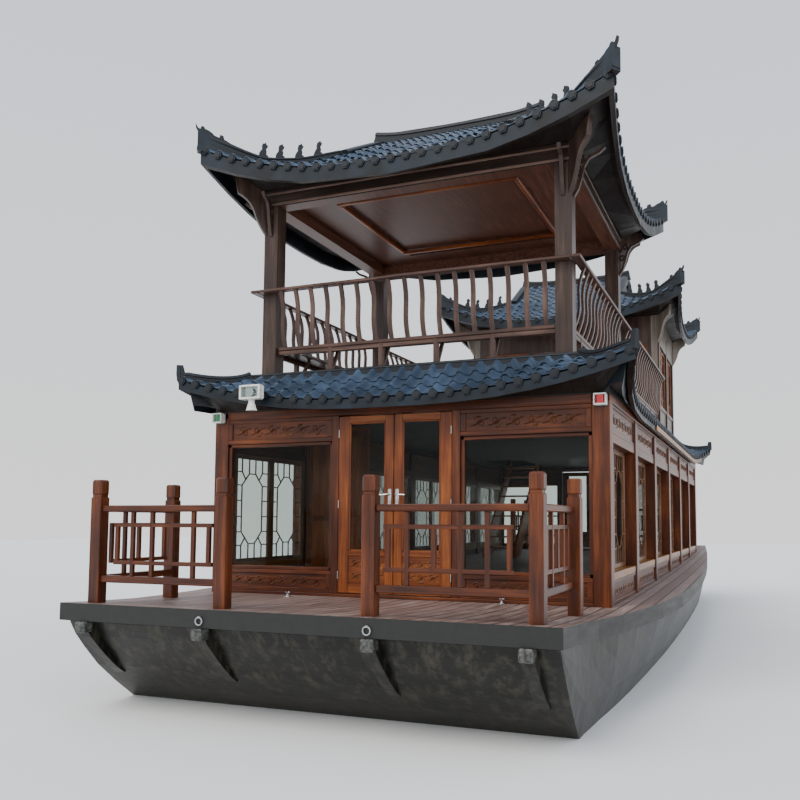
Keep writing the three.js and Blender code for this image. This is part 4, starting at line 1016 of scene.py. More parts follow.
tree.links.new(add(tree, "ShaderNodeValToRGB",
        {
            0: add(tree, "ShaderNodeTexNoise",
                {"Vector": point, "Scale": 5.0, "Detail": 4, "Roughness": 0.55}).outputs["Fac"]},
        stops=[(0.3, 0.34), (0.7, 0.55)]).outputs["Color"], shader.inputs["Roughness"])
for end in ("front", "aft", "port", "starboard"):
    dress(f"skirt_roof_{end}", under_tiles)

# Tile relief: the patch is lifted into barrels across it and steps down it.
relief, given, out = new_tree("tile_relief", [
    ("Row pitch", "Float"), ("Barrel height", "Float"), ("Lap height", "Float"), ("Finish", "Material")])
row = add(relief, "ShaderNodeMath",
    {
        0: add(relief, "ShaderNodeMath",
            {
                0: add(
                    relief, "GeometryNodeInputNamedAttribute", {"Name": "across"}, data_type="FLOAT"
                ).outputs["Attribute"], 1: given["Row pitch"]}, operation="DIVIDE").outputs[0]},
    operation="FRACT").outputs[0]
row = add(relief, "ShaderNodeMath",
    {0: add(relief, "ShaderNodeMath", {0: row, 1: 0.5}, operation="SUBTRACT").outputs[0]},
    operation="ABSOLUTE").outputs[0]
barrel = add(relief, "ShaderNodeMapRange", {0: row, 1: 0.06, 2: 0.34, 3: 1.0, 4: 0.0},
             interpolation_type="SMOOTHSTEP")
barrel = add(
    relief, "ShaderNodeMath", {0: barrel.outputs[0], 1: given["Barrel height"]}, operation="MULTIPLY"
).outputs[0]
lap = add(relief, "ShaderNodeMath",
    {
        0: add(
            relief, "GeometryNodeInputNamedAttribute", {"Name": "lap"}, data_type="FLOAT"
        ).outputs["Attribute"], 1: given["Lap height"]}, operation="MULTIPLY").outputs[0]
shift = add(relief, "ShaderNodeVectorMath",
    {
        0: add(
            relief, "GeometryNodeInputNamedAttribute", {"Name": "slope_normal"}, data_type="FLOAT_VECTOR"
        ).outputs["Attribute"],
        "Scale": add(relief, "ShaderNodeMath", {0: barrel, 1: lap}, operation="ADD").outputs[0]},
    operation="SCALE")
raised = add(
    relief, "GeometryNodeSetPosition", {"Geometry": given["Geometry"], "Offset": shift.outputs[0]})
real = add(relief, "GeometryNodeRealizeInstances", {0: raised.outputs[0]})
coated = add(
    relief, "GeometryNodeSetMaterial", {"Geometry": real.outputs[0], "Material": given["Finish"]})
relief.links.new(coated.outputs[0], out.inputs[0])


def tile_patch(name, surface, columns, courses, change=None, rows=3):
    """A tiled slope. surface(t, s) gives the bare slope, t along the eave from -1 to 1 and s up it."""
    heights = []
    for k in range(courses):
        tuck = 0.1 if k else 0.0
        heights += [((k - tuck + (1 + tuck) * j / (rows - 1)) / courses, 1 - j / (rows - 1))
                    for j in range(rows)]
    points, across, laps, normals = [], [], [], []
    for s, lap_here in heights:
        for i in range(columns + 1):
            t = 2 * i / columns - 1
            p = Vector(surface(t, s))
            e = 0.004
            along = Vector(surface(min(t + e, 1), s)) - Vector(surface(max(t - e, -1), s))
            up = Vector(surface(t, min(s + e, 1))) - Vector(surface(t, max(s - e, 0)))
            n = along.cross(up).normalized()
            points.append(p + n * 0.012)
            across.append(p.x + 40 * PITCH + PITCH / 2)
            laps.append(lap_here)
            normals.append(n)
    faces = []
    for j in range(len(heights) - 1):
        for i in range(columns):
            a = j * (columns + 1) + i
            faces.append([a, a + 1, a + columns + 2, a + columns + 1])
    if change:
        turned = [change(p) - change(Vector()) for p in normals]
        points = [change(p) for p in points]
        normals = turned
    mesh = bpy.data.meshes.new(name)
    mesh.from_pydata([on_boat(*p) for p in points], [], faces)
    mesh.attributes.new("across", "FLOAT", "POINT").data.foreach_set("value", across)
    mesh.attributes.new("lap", "FLOAT", "POINT").data.foreach_set("value", laps)
    flat = [v for n in normals for v in n]
    mesh.attributes.new("slope_normal", "FLOAT_VECTOR", "POINT").data.foreach_set("vector", flat)
    values = {"Row pitch": PITCH, "Barrel height": 0.046, "Lap height": 0.012, "Finish": roof_tiles}
    made = grown(name, mesh, relief, values, smooth=38, thickness=0.007)
    fit(made)
    return made


def climb(to_corner, reach):
    return max(0.0, 1 - to_corner / reach) ** 2.6


def skirt_slope(half_eave, half_inner, eave, inner, flare_along, flare_out):
    """A run of the skirt roof along x with its eave towards -y, as a function of t and s."""
    def surface(t, s):
        c = climb((1 - abs(t)) * half_eave, 2.3)
        out = 1 - s
        half = half_inner + (half_eave - half_inner) * out
        x = t * half + math.copysign(flare_along * c * out * out, t)
        y = eave + (inner - eave) * s - flare_out * c * out * out
        return x, y, 2.2 + 0.382 * max(s, 0) ** 1.15 + 0.33 * c * max(out, 0) ** 1.5
    return surface


front_skirt = skirt_slope(2.475, 2.055, -0.25, 0.25, 0.235, 0.07)
side_skirt = skirt_slope(SALOON / 2 + 0.25, SALOON / 2 - 0.25, -2.475, -2.055, 0.07, 0.235)


def about_turned(p):
    return Vector((-p.x, SALOON - p.y, p.z))


def port_turned(p):
    return Vector((-p.y, p.x + SALOON / 2, p.z))


def starboard_turned(p):
    return Vector((p.y, -p.x + SALOON / 2, p.z))


runs = [("front", front_skirt, None, 312), ("aft", front_skirt, about_turned, 312),
        ("port", side_skirt, port_turned, 744), ("starboard", side_skirt, starboard_turned, 744)]
for name, surface, change, columns in runs:
    tile_patch(f"skirt_tiles_{name}", surface, columns, 3, change)

# Hexagonal caps close the barrels' ends, standing on the eave board.
cap = Work(61)
hexagon = [(0.056, 0.002), (0.03, 0.04), (-0.03, 0.04), (-0.056, 0.002), (-0.028, -0.05), (0.028, -0.05)]
cap.plate(hexagon, 0.03)
cap.plate([(x * 0.7, z * 0.7) for x, z in hexagon], 0.042)
cap_unit = cap.object("eave_cap_unit", ridge_tiles, placed=False)


def eave_caps(surface, change, reach_out=0.0, drop=0.0):
    """One cap under each barrel along an eave, tipped with the eave."""
    spots = []
    half = abs(surface(1, 0)[0])
    count = int(half / PITCH)
    for k in range(-count, count + 1):
        x = k * PITCH
        t = x / half
        for _ in range(12):
            t = max(-1, min(1, t + (x - surface(t, 0)[0]) / half))
        p = Vector(surface(t, 0))
        ahead = Vector(surface(min(t + 0.01, 1), 0)) - Vector(surface(max(t - 0.01, -1), 0))
        if change:
            ahead = change(ahead) - change(Vector())
            p = change(p)
        tip = math.atan2(ahead.z, math.hypot(ahead.x, ahead.y))
        yaw = math.atan2(ahead.y, ahead.x)
        out = Vector((math.sin(yaw), -math.cos(yaw), 0)) * reach_out
        spots.append(((p.x + out.x, p.y + out.y, p.z + drop), (0, -tip, yaw)))
    return spots


# A gold-brown board runs along the side eaves from amidships to the stern.
eave_board = Work(63)
for change, ends in ((port_turned, (-0.42, 0.86)), (starboard_turned, (-0.86, 0.42))):
    path = [change(Vector(side_skirt(ends[0] + (ends[1] - ends[0]) * k / 24, 0))) for k in range(25)]
    side = math.copysign(0.012, path[0].x)
    eave_board.sweep([(p.x + side, p.y, p.z - 0.055) for p in path],
                     [(-0.011, -0.035), (0.011, -0.035), (0.011, 0.035), (-0.011, 0.035)])
fit(eave_board.object("side_eave_boards", ochre))

spots = []
for name, surface, change, columns in runs:
    spots += eave_caps(surface, change, 0.004, 0.012)
fit(copied("skirt_eave_caps", cap_unit, ridge_tiles, spots))

# Moulded ridge bar: a broad foot, a neck and a rounded cap.
RIDGE = [(-0.07, -0.03), (0.07, -0.03), (0.07, 0.028), (0.05, 0.036), (0.05, 0.06), (0.062, 0.068),
         (0.058, 0.086), (0.03, 0.104), (-0.03, 0.104), (-0.058, 0.086), (-0.062, 0.068), (-0.05, 0.06),
         (-0.05, 0.036), (-0.07, 0.028)]
bars = Work(62)
inner_x, inner_y = 2.055, 0.25
corner_z = 2.582               # top of the skirt roof
skirt_ridge = [(a * 0.62, b * 0.72) for a, b in RIDGE]
for a, b in (((-inner_x, inner_y), (inner_x, inner_y)), ((inner_x, inner_y), (inner_x, SALOON - inner_y)),
             ((inner_x, SALOON - inner_y), (-inner_x, SALOON - inner_y)),
             ((-inner_x, SALOON - inner_y), (-inner_x, inner_y))):
    bars.sweep([(a[0], a[1], corner_z), ((a[0] + b[0]) / 2, (a[1] + b[1]) / 2, corner_z),
                (b[0], b[1], corner_z)], skirt_ridge)
for sx in (1, -1):
    for stern in (False, True):
        path = []
        for k in range(15):
            s = 1 - k / 12
            if s >= 0:
                x, y, z = front_skirt(1, s)
            else:
                over = -s * 0.5
                x, y, z = front_skirt(1, 0)
                x, y, z = x + over * 0.1, y - over * 0.1, z + 0.17 * (-s * 6) ** 1.5
            path.append((sx * x, SALOON - y if stern else y, z + 0.02))
        bars.sweep(path, [(a * 0.8, b * 0.95) for a, b in RIDGE], scale=lambda t: (
            1 - 0.72 * max(0, t - 0.72) / 0.28, 1 + 0.1 * t - 0.5 * max(0, t - 0.85) / 0.15))
fit(bars.object("skirt_ridge_bars", ridge_tiles, smooth=35))

# ---------------------------------------------------------------- upper roofs
# Two hipped and gabled roofs of the same slate-blue sheet tiles. Heavy moulded ridge bars run along
# the crown, the gable edges and the hips, whose tips carry a comb crest and four small beasts.

EAVE, CREST, GABLE_HALF, GABLE_DROP = 4.93, 6.15, 1.13, 1.08
RISE = [(0.0, 0.0), (0.5, 0.265), (1.0, 0.61), (2.05, 1.22)]
UPPER_RIDGE = [(-0.078, -0.03), (0.078, -0.03), (0.078, 0.04), (0.068, 0.05), (0.068, 0.1), (0.08, 0.11),
               (0.076, 0.14), (0.045, 0.165), (-0.045, 0.165), (-0.076, 0.14), (-0.08, 0.11),
               (-0.068, 0.1), (-0.068, 0.05), (-0.078, 0.04)]


def eased(pairs, at):
    """A value read off a smooth curve through (position, value) pairs."""
    last = len(pairs) - 1
    i = next((k for k in range(1, last + 1) if pairs[k][0] >= at), last)

    def lean(k):
        a, b = pairs[max(k - 1, 0)], pairs[min(k + 1, last)]
        return (b[1] - a[1]) / (b[0] - a[0])
    (x0, v0), (x1, v1) = pairs[i - 1], pairs[i]
    span = x1 - x0
    t = min(max((at - x0) / span, 0), 1)
    return (v0 * (2 * t ** 3 - 3 * t ** 2 + 1) + lean(i - 1) * span * (t ** 3 - 2 * t ** 2 + t)
            + v1 * (3 * t ** 2 - 2 * t ** 3) + lean(i) * span * (t ** 3 - t ** 2))


class UpperRoof:
    """The slopes of one upper roof, in the boat's own metres, by distances from its middle."""

    def __init__(self, middle, half_x, half_y):
        self.middle, self.half_x, self.half_y = middle, half_x, half_y
        self.rim_x, self.rim_y = half_x - GABLE_HALF, half_y - GABLE_DROP

    def lift(self, x, y):
        return climb(self.half_x - abs(x), self.half_x) * climb(self.half_y - abs(y), self.half_y)

    def place(self, x, y, z):
        out = 1 + 0.125 / self.half_x * self.lift(x, y)
        return Vector((x * out, y * out, z))

    def height(self, x, y):
        u, v = (self.half_x - abs(x)) / self.rim_x, (self.half_y - abs(y)) / self.rim_y
        inward = v if abs(x) <= GABLE_HALF + 1e-6 else min(u, v, 1)
        return EAVE + eased(RISE, inward) + 0.46 * self.lift(x, y)

    def long_slope(self, t, s):
        v = s * self.half_y / self.rim_y
        y = self.half_y - v * self.rim_y
        x = t * (self.half_x - min(v, 1) * self.rim_x)
        p = self.place(x, y, EAVE + eased(RISE, v) + 0.46 * self.lift(x, y))
        return p.x, -p.y, p.z

    def short_slope(self, t, s):
        x = self.half_x - s * self.rim_x
        y = t * (self.half_y - s * self.rim_y)
        p = self.place(x, y, EAVE + eased(RISE, s) + 0.46 * self.lift(x, y))
        return p.y, -p.x, p.z

    def turns(self):
        m = self.middle
        return {"front": lambda p: Vector((p.x, p.y + m, p.z)),
                "aft": lambda p: Vector((-p.x, m - p.y, p.z)),
                "port": lambda p: Vector((-p.y, p.x + m, p.z)),
                "starboard": lambda p: Vector((p.y, m - p.x, p.z))}

    def hip(self, sx, sy, count=26):
        """Points down a hip from the gable's foot to the tip, on the bar under the cladding."""
        knots = []
        for t in (0.03, 0.33, 0.62, 1):
            x = GABLE_HALF + (self.half_x - GABLE_HALF) * t
            y = GABLE_DROP + (self.half_y - GABLE_DROP) * t
            knots.append(self.place(x, y, self.height(x, y)))
        knots[-1] += Vector((0.03, 0.03, 0.05))
        path = []
        for k in range(count):
            at = 3 * k / (count - 1)
            i = min(int(at), 2)
            path.append(knots[i].lerp(knots[i + 1], at - i))
        for _ in range(4):
            path = [path[0]] + [(a + b * 2 + c) / 4 for a, b, c in zip(path, path[1:], path[2:])] + [path[-1]]
        return [Vector((sx * p.x, sy * p.y + self.middle, p.z)) for p in path]


def standing(work, path, outline, thick):
    """A cut-out of (distance back from the end, height) points standing along the end of a path."""
    lengths = [0.0]
    back = path[::-1]
    for a, b in zip(back, back[1:]):
        lengths.append(lengths[-1] + (b - a).length)
    sheets = []
    for side in (-0.5, 0.5):
        ring = []
        for d, h in outline:
            k = max(0, min(len(back) - 2, sum(1 for l in lengths if l <= d) - 1))
            run = (back[k + 1] - back[k])
            p = back[k] + run * ((d - lengths[k]) / run.length)
            across = Vector((-run.y, run.x, 0)).normalized()
            ring.append(p + across * side * thick + Vector((0, 0, h)))
        sheets += ring
    n = len(outline)
    faces = [list(range(n)), list(reversed(range(n, 2 * n)))]
    faces += [[(k + 1) % n, k, k + n, (k + 1) % n + n] for k in range(n)]
    # Faces are turned outwards by the first sheet's own winding.
    area = Vector()
    for k in range(n):
        area += sheets[k].cross(sheets[(k + 1) % n])
    if area.dot(sheets[0] - sheets[n]) < 0:
        faces = [list(reversed(face)) for face in faces]
    work.skin(sheets, faces, [(d, h) for d, h in outline] * 2)


COMB = [(0.0, 0.0), (-0.025, 0.03), (-0.03, 0.075), (0.0, 0.035), (0.03, 0.03), (0.045, 0.075),
        (0.08, 0.08), (0.09, 0.06), (0.14, 0.06), (0.19, 0.045), (0.21, 0.03), (0.27, 0.03), (0.285, 0.075),
        (0.325, 0.075), (0.335, 0.035), (0.40, 0.025), (0.46, 0.0), (0.46, -0.05), (0.0, -0.05)]
BEAST = [(-0.045, -0.02), (0.05, -0.02), (0.048, 0.02), (0.03, 0.03), (0.033, 0.06), (0.022, 0.085),
         (0.035, 0.10), (0.045, 0.118), (0.03, 0.128), (0.022, 0.15), (0.008, 0.138), (-0.01, 0.135),
         (-0.018, 0.11), (-0.012, 0.085), (-0.03, 0.06), (-0.045, 0.035)]

for name, sizes in (("pavilion_roof", (1.94, 2.4, 2.09)), ("aft_cabin_roof", (9.635, 2.35, 1.96))):
    roof = UpperRoof(*sizes)
    dress(name, under_tiles)
    turns, spots = roof.turns(), []
    for side, change in turns.items():
        long = side in ("front", "aft")
        surface = roof.long_slope if long else roof.short_slope
        half = roof.half_x if long else roof.half_y
        tile_patch(f"{name}_tiles_{side}", surface, round(2 * half / PITCH * 12), 11 if long else 6, change)
        spots += eave_caps(surface, change, 0.004, 0.01)
    fit(copied(f"{name}_eave_caps", cap_unit, ridge_tiles, spots))
    bars = Work(71)
    crown = [(t * 1.22, roof.middle, CREST + 0.07 * t ** 4) for t in [k / 8 - 1 for k in range(17)]]
    bars.sweep(crown, UPPER_RIDGE)
    for sx in (1, -1):
        for sy in (1, -1):
            x = sx * (GABLE_HALF - 0.01)
            verge = [(x, roof.middle + sy * GABLE_DROP * t, roof.height(x, GABLE_DROP * t))
                     for t in (0.0, 0.25, 0.5, 0.765, 1.03)]
            bars.sweep(verge, [(a * 0.92, b * 0.62) for a, b in UPPER_RIDGE])
            path = roof.hip(sx, sy)
            bars.sweep(path, UPPER_RIDGE, scale=lambda t: (
                1 - 0.35 * max(0, t - 0.85) / 0.15, 0.58 + 0.62 * t ** 4))
            top = [p + Vector((0, 0, 0.165 * (0.58 + 0.62 * (k / (len(path) - 1)) ** 4)))
                   for k, p in enumerate(path)]
            standing(bars, top, COMB, 0.036)
            for x in (2.04, 1.87, 1.68, 1.48):
                reach = [k for k, p in enumerate(top) if abs(p.x) <= x][-1]
                standing(bars, top[:reach + 1], [(d * 1.2 + 0.06, h * 1.3) for d, h in BEAST], 0.04)
    fit(bars.object(f"{name}_ridge_bars", ridge_tiles, smooth=32))

# ---------------------------------------------------------------- pavilion
# Four square posts carry a beamed ceiling by openwork corner brackets. All of it is dark-stained
# timber with a satin sheen; the ceiling boards are a redder brown inside a moulded rectangle.

dark_timber = timber("dark_stained_post_timber", "#1f1612", "#3a2a23", "#5c473d", 0.4, run="z")
for side in ("port", "starboard"):
    for end in ("fore", "aft"):
        dress(f"pavilion_post_{side}_{end}", dark_timber)

# Ceiling: redder boards below, dark beams on its sides.
ceiling_board, tree, shader = finish("reddish_ceiling_boards", coat_weight=0.08, coat_roughness=0.25,
                                     Specular_IOR_Level=0.3)
point = add(tree, "ShaderNodeTexCoord").outputs["Object"]
grain = add(tree, "ShaderNodeTexNoise",
    {"Vector": add(tree, "ShaderNodeMapping", {"Vector": point, "Scale": (40, 2, 40)}).outputs[0],
        "Scale": 1.0, "Detail": 5, "Roughness": 0.55}).outputs["Fac"]
tree.links.new(add(tree, "ShaderNodeValToRGB", {0: grain},
        stops=[(0.3, "#371e15"), (0.5, "#502e20"), (0.7, "#6c4434")]).outputs["Color"],
    shader.inputs["Base Color"])
tree.links.new(add(tree, "ShaderNodeMath",
        {0: add(tree, "ShaderNodeMath", {0: grain, 1: 0.3}, operation="MULTIPLY").outputs[0], 1: 0.28},
        operation="ADD").outputs[0], shader.inputs["Roughness"])
dress("pavilion_ceiling", ceiling_board)
boards = Work(81)
for x, y, z in (((-1.21, 1.21), (0.79, 0.85), (4.9, 4.95)), ((-1.21, 1.21), (2.83, 2.89), (4.9, 4.95)),
                ((-1.21, -1.15), (0.85, 2.83), (4.9, 4.95)), ((1.15, 1.21), (0.85, 2.83), (4.9, 4.95))):
    boards.bar(x, y, z, 0.012)
fit(boards.object("pavilion_ceiling_moulding", door_wood))
beams, facing_boards = Work(82), Work(84)
for y, out in ((0.31, -1), (3.57, 1)):
    facing_boards.bar((-1.968, 1.968), (y, y + out * 0.008), (4.788, 5.0), 0.002)
    for z in ((4.80, 4.83), (4.94, 4.965)):
        beams.bar((-1.97, 1.97), (y + out * 0.007, y + out * 0.02), z, 0.004)
for sx in (1, -1):
    facing_boards.bar((sx * 1.96, sx * 1.968), (0.31, 3.57), (4.788, 5.0), 0.002)
    for z in ((4.80, 4.83), (4.94, 4.965)):
        beams.bar((sx * 1.967, sx * 1.98), (0.31, 3.57), z, 0.004)
# The beam boards take a darker copy of the dark-stained post timber: painted shade under the eaves.
fit(facing_boards.object("pavilion_beam_boards", timber(
    "dark_stained_beam_timber_painted_shade", "#17110e", "#2b201b", "#463730", 0.4)))
# The moulding strips are coloured paler than the beam as a painted highlight, where their edges catch the
# light.
fit(beams.object("pavilion_beam_mouldings", timber("edge_moulding_painted_highlight", "#3a2a22", "#6b544a", "#8a7264")))

# Scrolled corner brackets: a curved arm with curls let into it, in the plane of each diagonal face.
CURLS = ((0.045, 4.66, 0.05), (0.1, 4.82, 0.045), (0.02, 4.79, 0.035))
bracket = Work(83)
ARM = [(0.0, 4.42), (0.05, 4.50), (0.085, 4.62), (0.115, 4.74), (0.17, 4.83), (0.29, 4.88), (0.35, 4.93)]
for sx in (1, -1):
    for near, sy in ((0.405, -1), (3.475, 1)):
        for dx, dy in ((sx, 0), (0, sy)):
            foot = Vector((sx * 1.96 if dx else sx * 1.865, near + (0 if dx else sy * 0.095), 0))
            path = [foot + Vector((dx * e, dy * e * 0.55, z)) for e, z in ARM]
            bracket.sweep(path, [(-0.022, -0.016), (0.022, -0.016), (0.022, 0.016), (-0.022, 0.016)],
                          up=(dx, dy, 0.4))
            for turn, (e, z, radius) in enumerate(CURLS):
                curl = []
                for k in range(14):
                    angle = 0.55 * k + turn
                    r = radius * (1 - k / 17)
                    out = e + r * math.cos(angle)
                    curl.append(foot + Vector((dx * out, dy * out * 0.55, z + r * math.sin(angle))))
                bracket.sweep(curl, [(-0.012, -0.008), (0.012, -0.008), (0.012, 0.008), (-0.012, 0.008)],
                              up=(dy, dx, 0.01))
fit(bracket.object("pavilion_brackets", dark_timber))

# ---------------------------------------------------------------- benches
# Beauty-lean seats: a plank seat on square legs, and S-curved back slats that lean out to a broad
# top board along the edge of the upper deck. Dark-stained.

slat_wood = timber("rubbed_dark_bench_timber", "#241813", "#473129", "#755a4d", 0.38)


def leaning_slat(work, along_x, sign, at, face):
    """One back slat; along_x says that the seat runs along x, and sign points outwards."""
    path = []
    for k in range(9):
        t = k / 8
        out = -0.06 + 0.135 * t + 0.028 * math.sin(2 * math.pi * t)
        z = 2.98 + 0.705 * t
        path.append((at, face + sign * out, z) if along_x else (face + sign * out, at, z))
    up = (0, sign, 0) if along_x else (sign, 0, 0)
    work.sweep(path, [(-0.026, -0.013), (0.026, -0.013), (0.026, 0.013), (-0.026, 0.013)], up=up)


front = Work(91)
front.bar((-1.9647, 1.9647), (0.195, 0.305), (3.675, 3.71), 0.008)
front.bar((-1.7597, 1.7597), (0.35, 0.66), (2.955, 3.0), 0.008)
count = 17
for k in range(count):
    leaning_slat(front, True, -1, -1.66 + 3.32 * k / (count - 1), 0.31)
for x in (-1.036, -0.35, 0.35, 1.036):
    front.bar((x - 0.028, x + 0.028), (0.354, 0.41), (2.555, 2.955), 0.004)
    front.beam((x, 0.39, 2.62), (x, 0.58, 2.95), 0.04, 0.04, edge=0.004)
front.bar((-1.7597, 1.7597), (0.36, 0.40), (2.905, 2.955), 0.004)
fit(front.object("bench_front_timber", slat_wood), replaced=["bench_front"])

side_bench = Work(92)
side_bench.bar((1.965, 2.075), (0.195, 8.295), (3.675, 3.71), 0.008)
for y in ((0.66, 3.375), (3.575, 8.295)):
    side_bench.bar((1.61, 1.92), y, (2.955, 3.0), 0.008)
    side_bench.bar((1.87, 1.91), y, (2.905, 2.955), 0.004)
at = 0.62
while at < 8.25:
    if not 3.33 < at < 3.62:
        leaning_slat(side_bench, False, 1, at, 1.96)
    at += 0.211
for k in range(11):
    y = 1.0 + 0.69 * k
    side_bench.bar((1.86, 1.916), (y - 0.028, y + 0.028), (2.555, 2.955), 0.004)
    side_bench.beam((1.88, y, 2.62), (1.69, y, 2.95), 0.04, 0.04, edge=0.004)
for side, work in (("port", side_bench), ("starboard", side_bench.to_starboard())):
    fit(work.object(f"bench_{side}_timber", slat_wood), replaced=[f"bench_{side}"])

# ---------------------------------------------------------------- aft cabin
# A small cabin on the upper deck: dark posts, grey-brown panels under the sills, orange-brown lattice
# windows over clear panes, and a pair of doors in its front wall.

cabin_panel = timber("grey_brown_cabin_panel", "#4a4038", "#6d6258", "#8c8176", 0.45, run="z")
for wall in ("port", "starboard", "front", "aft"):
    dress(f"aft_cabin_{wall}_wall", cabin_panel if wall in ("port", "starboard") else dark_timber)

CABIN_SILL, CABIN_HEAD = 3.2, 4.42
side_frames, side_panes = Work(95), Work(96)
for y in ((8.45, 9.575), (9.695, 10.82)):
    for z in ((2.56, 2.66), (3.12, CABIN_SILL), (CABIN_HEAD, 4.5)):
        side_frames.bar((1.86, 1.945), y, z, 0.005)
for y in ((8.296, 8.452), (9.573, 9.697), (10.818, 10.974)):
    side_frames.bar((1.93, 1.966), y, (2.553, 4.755), 0.006)
for y in ((8.45, 9.575), (9.695, 10.82)):
    side_panes.bar((1.885, 1.891), (y[0] + 0.02, y[1] - 0.02), (CABIN_SILL + 0.01, CABIN_HEAD - 0.01), 0)
for side, sign in (("port", 1), ("starboard", -1)):
    frames = side_frames if sign > 0 else side_frames.to_starboard()
    panes = side_panes if sign > 0 else side_panes.to_starboard()
    fit(frames.object(f"aft_cabin_{side}_frames", dark_timber))
    fit(panes.object(f"aft_cabin_{side}_panes", glass))
half_cabin_bay = (1.125 - 0.002) / 2
cabin_sash = sash(half_cabin_bay, CABIN_HEAD - CABIN_SILL, 0.045).object(
    "cabin_sash_unit", lattice_wood_painted_reflection, placed=False)
spots = []
for y in (8.451, 9.696):
    for k in range(2):
        spots.append(((1.925, y + k * half_cabin_bay, CABIN_SILL), (0, 0, math.pi / 2)))
        spots.append(((-1.925, y + (k + 1) * half_cabin_bay, CABIN_SILL), (0, 0, -math.pi / 2)))
for sx in (1, -1):
    x = min(sx * 0.73, sx * 1.72)
    width = 0.99 / 2 / half_cabin_bay
    for k in range(2):
        spots.append(((x + 0.495 * k, 8.315, CABIN_SILL), (0, 0, 0), (width, 1, 1)))
        spots.append(((x + 0.495 * (k + 1), 10.955, CABIN_SILL), (0, 0, math.pi), (width, 1, 1)))
for x in (0, 0.57):
    spots.append(((x, 10.955, CABIN_SILL), (0, 0, math.pi), (0.57 / half_cabin_bay, 1, 1)))
fit(copied("aft_cabin_sashes", cabin_sash, door_wood, spots))
end_panes = Work(97)
for x in ((0.74, 1.71), (-1.71, -0.74)):
    end_panes.bar(x, (8.355, 8.361), (CABIN_SILL + 0.01, CABIN_HEAD - 0.01), 0)
    end_panes.bar(x, (10.909, 10.915), (CABIN_SILL + 0.01, CABIN_HEAD - 0.01), 0)
end_panes.bar((-0.56, 0.56), (10.909, 10.915), (CABIN_SILL + 0.01, CABIN_HEAD - 0.01), 0)
fit(end_panes.object("aft_cabin_end_panes", glass))

# ---------------------------------------------------------------- lamps
# A white enamelled searchlight stands on the front eave, and a red and a green sidelight in white
# cases hang under the eave's corners. Pressed steel cases with moulded lenses, bolted on.

enamel, tree, shader = finish("white_enamelled_lamp_case", coat_weight=0.3, coat_roughness=0.1)
stain = add(tree, "ShaderNodeTexNoise",
    {"Vector": add(tree, "ShaderNodeTexCoord").outputs["Object"], "Scale": 25.0, "Detail": 5,
        "Roughness": 0.55}).outputs["Fac"]
tree.links.new(
    add(
        tree, "ShaderNodeValToRGB", {0: stain}, stops=[(0.3, "#c9c8c2"), (0.6, "#ecebe6")]
    ).outputs["Color"], shader.inputs["Base Color"])
tree.links.new(
    add(tree, "ShaderNodeValToRGB", {0: stain}, stops=[(0.3, 0.42), (0.7, 0.24)]).outputs["Color"],
    shader.inputs["Roughness"])
reflector, tree, shader = finish("bright_lamp_reflector", "#e9ecee", Metallic=1.0)
tree.links.new(add(tree, "ShaderNodeValToRGB",
        {
            0: add(tree, "ShaderNodeTexNoise",
                {"Vector": add(tree, "ShaderNodeTexCoord").outputs["Object"], "Scale": 40.0,
                    "Detail": 4, "Roughness": 0.55}).outputs["Fac"]}, stops=[(0.3, 0.12), (0.7, 0.28)]
    ).outputs["Color"], shader.inputs["Roughness"])
red_lens = finish("red_lamp_lens", "#b3121c", Roughness=0.18, coat_weight=0.6)[0]
green_lens = finish("green_lamp_lens", "#0b6b3a", Roughness=0.18, coat_weight=0.6)[0]
black_plastic = finish("black_lamp_mount", "#15161a", Roughness=0.45)[0]

case, bright = Work(101), Work(102)
x0, x1, z0, z1 = -1.75, -1.47, 2.235, 2.4
case.bar((x0, x1), (-0.40, -0.352), (z0, z1), 0.014)
for x in ((x0, x0 + 0.03), (x1 - 0.03, x1)):
    case.bar(x, (-0.455, -0.395), (z0, z1), 0.006)
for z in ((z0, z0 + 0.025), (z1 - 0.025, z1)):
    case.bar((x0 + 0.02, x1 - 0.02), (-0.455, -0.395), z, 0.006)
middle = (x0 + x1) / 2
case.sweep([(middle, -0.40, z) for z in (2.11, 2.125, 2.16, 2.19)], oval(0.075, 0.05), up=(0, 1, 0),
           scale=lambda t: (1 - 0.45 * t, 1 - 0.35 * t))
case.sweep([(middle, -0.40, z) for z in (2.185, 2.21, 2.237)], oval(0.04, 0.03), up=(0, 1, 0))
bright.bar((x0 + 0.028, x1 - 0.028), (-0.408, -0.399), (z0 + 0.022, z1 - 0.022), 0)
bright.sweep([(middle, y, (z0 + z1) / 2) for y in (-0.4, -0.42, -0.44)], oval(0.05, 0.05), up=(0, 0, 1),
             scale=lambda t: (0.4 + 0.6 * t, 0.4 + 0.6 * t))
fit(case.object("searchlight_case", enamel, smooth=35), replaced=["searchlight"])
fit(bright.object("searchlight_reflector", reflector, smooth=35))
search_glass = Work(103)
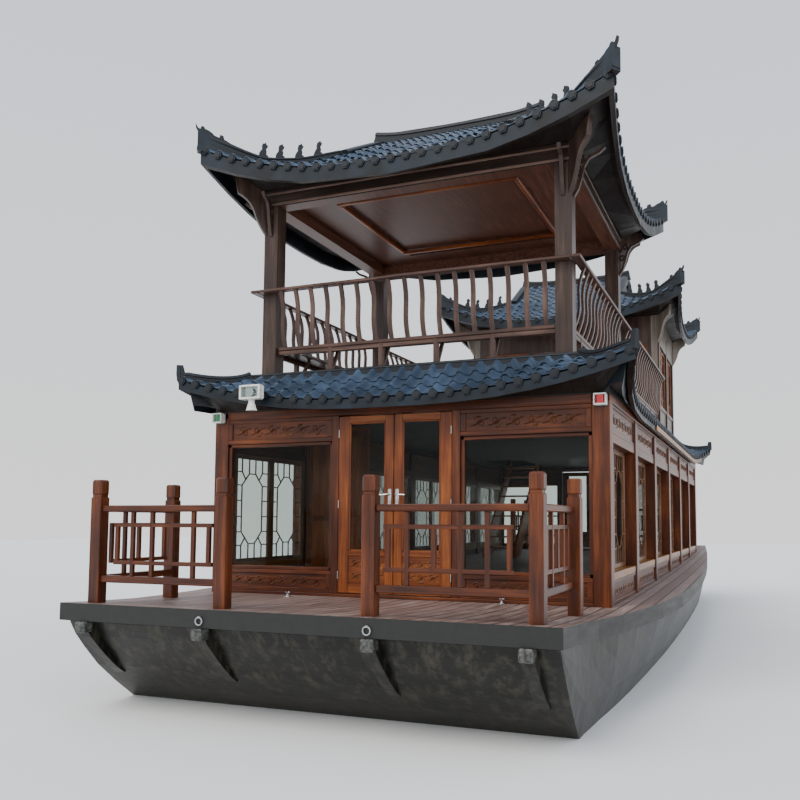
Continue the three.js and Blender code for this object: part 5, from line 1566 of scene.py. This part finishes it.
search_glass.bar((x0 + 0.026, x1 - 0.026), (-0.452, -0.448), (z0 + 0.02, z1 - 0.02), 0)
fit(search_glass.object("searchlight_glass", glass))
for side, sign, colour in (("port", 1, red_lens), ("starboard", -1, green_lens)):
    case, lens, mount = Work(104), Work(105), Work(106)
    case.bar((2.25, 2.38), (-0.05, -0.003), (2.03, 2.15), 0.008)
    for z in ((2.03, 2.045), (2.135, 2.15)):
        case.bar((2.25, 2.38), (-0.1, -0.045), z, 0.004)
    for x in ((2.25, 2.262), (2.368, 2.38)):
        case.bar(x, (-0.1, -0.045), (2.04, 2.14), 0.003)
    lens.sweep([(2.315, -0.055, z) for z in (2.046, 2.06, 2.12, 2.134)],
               oval(0.05, 0.036), up=(0, 1, 0))
    mount.bar((2.245, 2.385), (-0.004, 0.0), (2.02, 2.152), 0)
    parts = [part if sign > 0 else part.to_starboard() for part in (case, lens, mount)]
    fit(parts[0].object(f"sidelight_{side}_case", enamel, smooth=35),
        replaced=[f"sidelight_{side}"])
    fit(parts[1].object(f"sidelight_{side}_lens", colour, smooth=35))
    fit(parts[2].object(f"sidelight_{side}_mount", black_plastic))

# ---------------------------------------------------------------- propeller
# Cast bronze, dulled and stained by the water.

bronze, tree, shader = finish("dull_cast_bronze", Metallic=1.0)
tarnish = add(tree, "ShaderNodeTexNoise",
    {"Vector": add(tree, "ShaderNodeTexCoord").outputs["Object"], "Scale": 18.0, "Detail": 5,
        "Roughness": 0.55}).outputs["Fac"]
tree.links.new(
    add(
        tree, "ShaderNodeValToRGB", {0: tarnish}, stops=[(0.3, "#5a4526"), (0.7, "#9a7b44")]
    ).outputs["Color"], shader.inputs["Base Color"])
tree.links.new(
    add(tree, "ShaderNodeValToRGB", {0: tarnish}, stops=[(0.3, 0.6), (0.7, 0.38)]).outputs["Color"],
    shader.inputs["Roughness"])
dress("propeller", bronze)

# ---------------------------------------------------------------- unit templates removed
for unit in (scroll, cap_unit, bay_sash, end_sash, cabin_sash):
    bpy.data.objects.remove(unit)
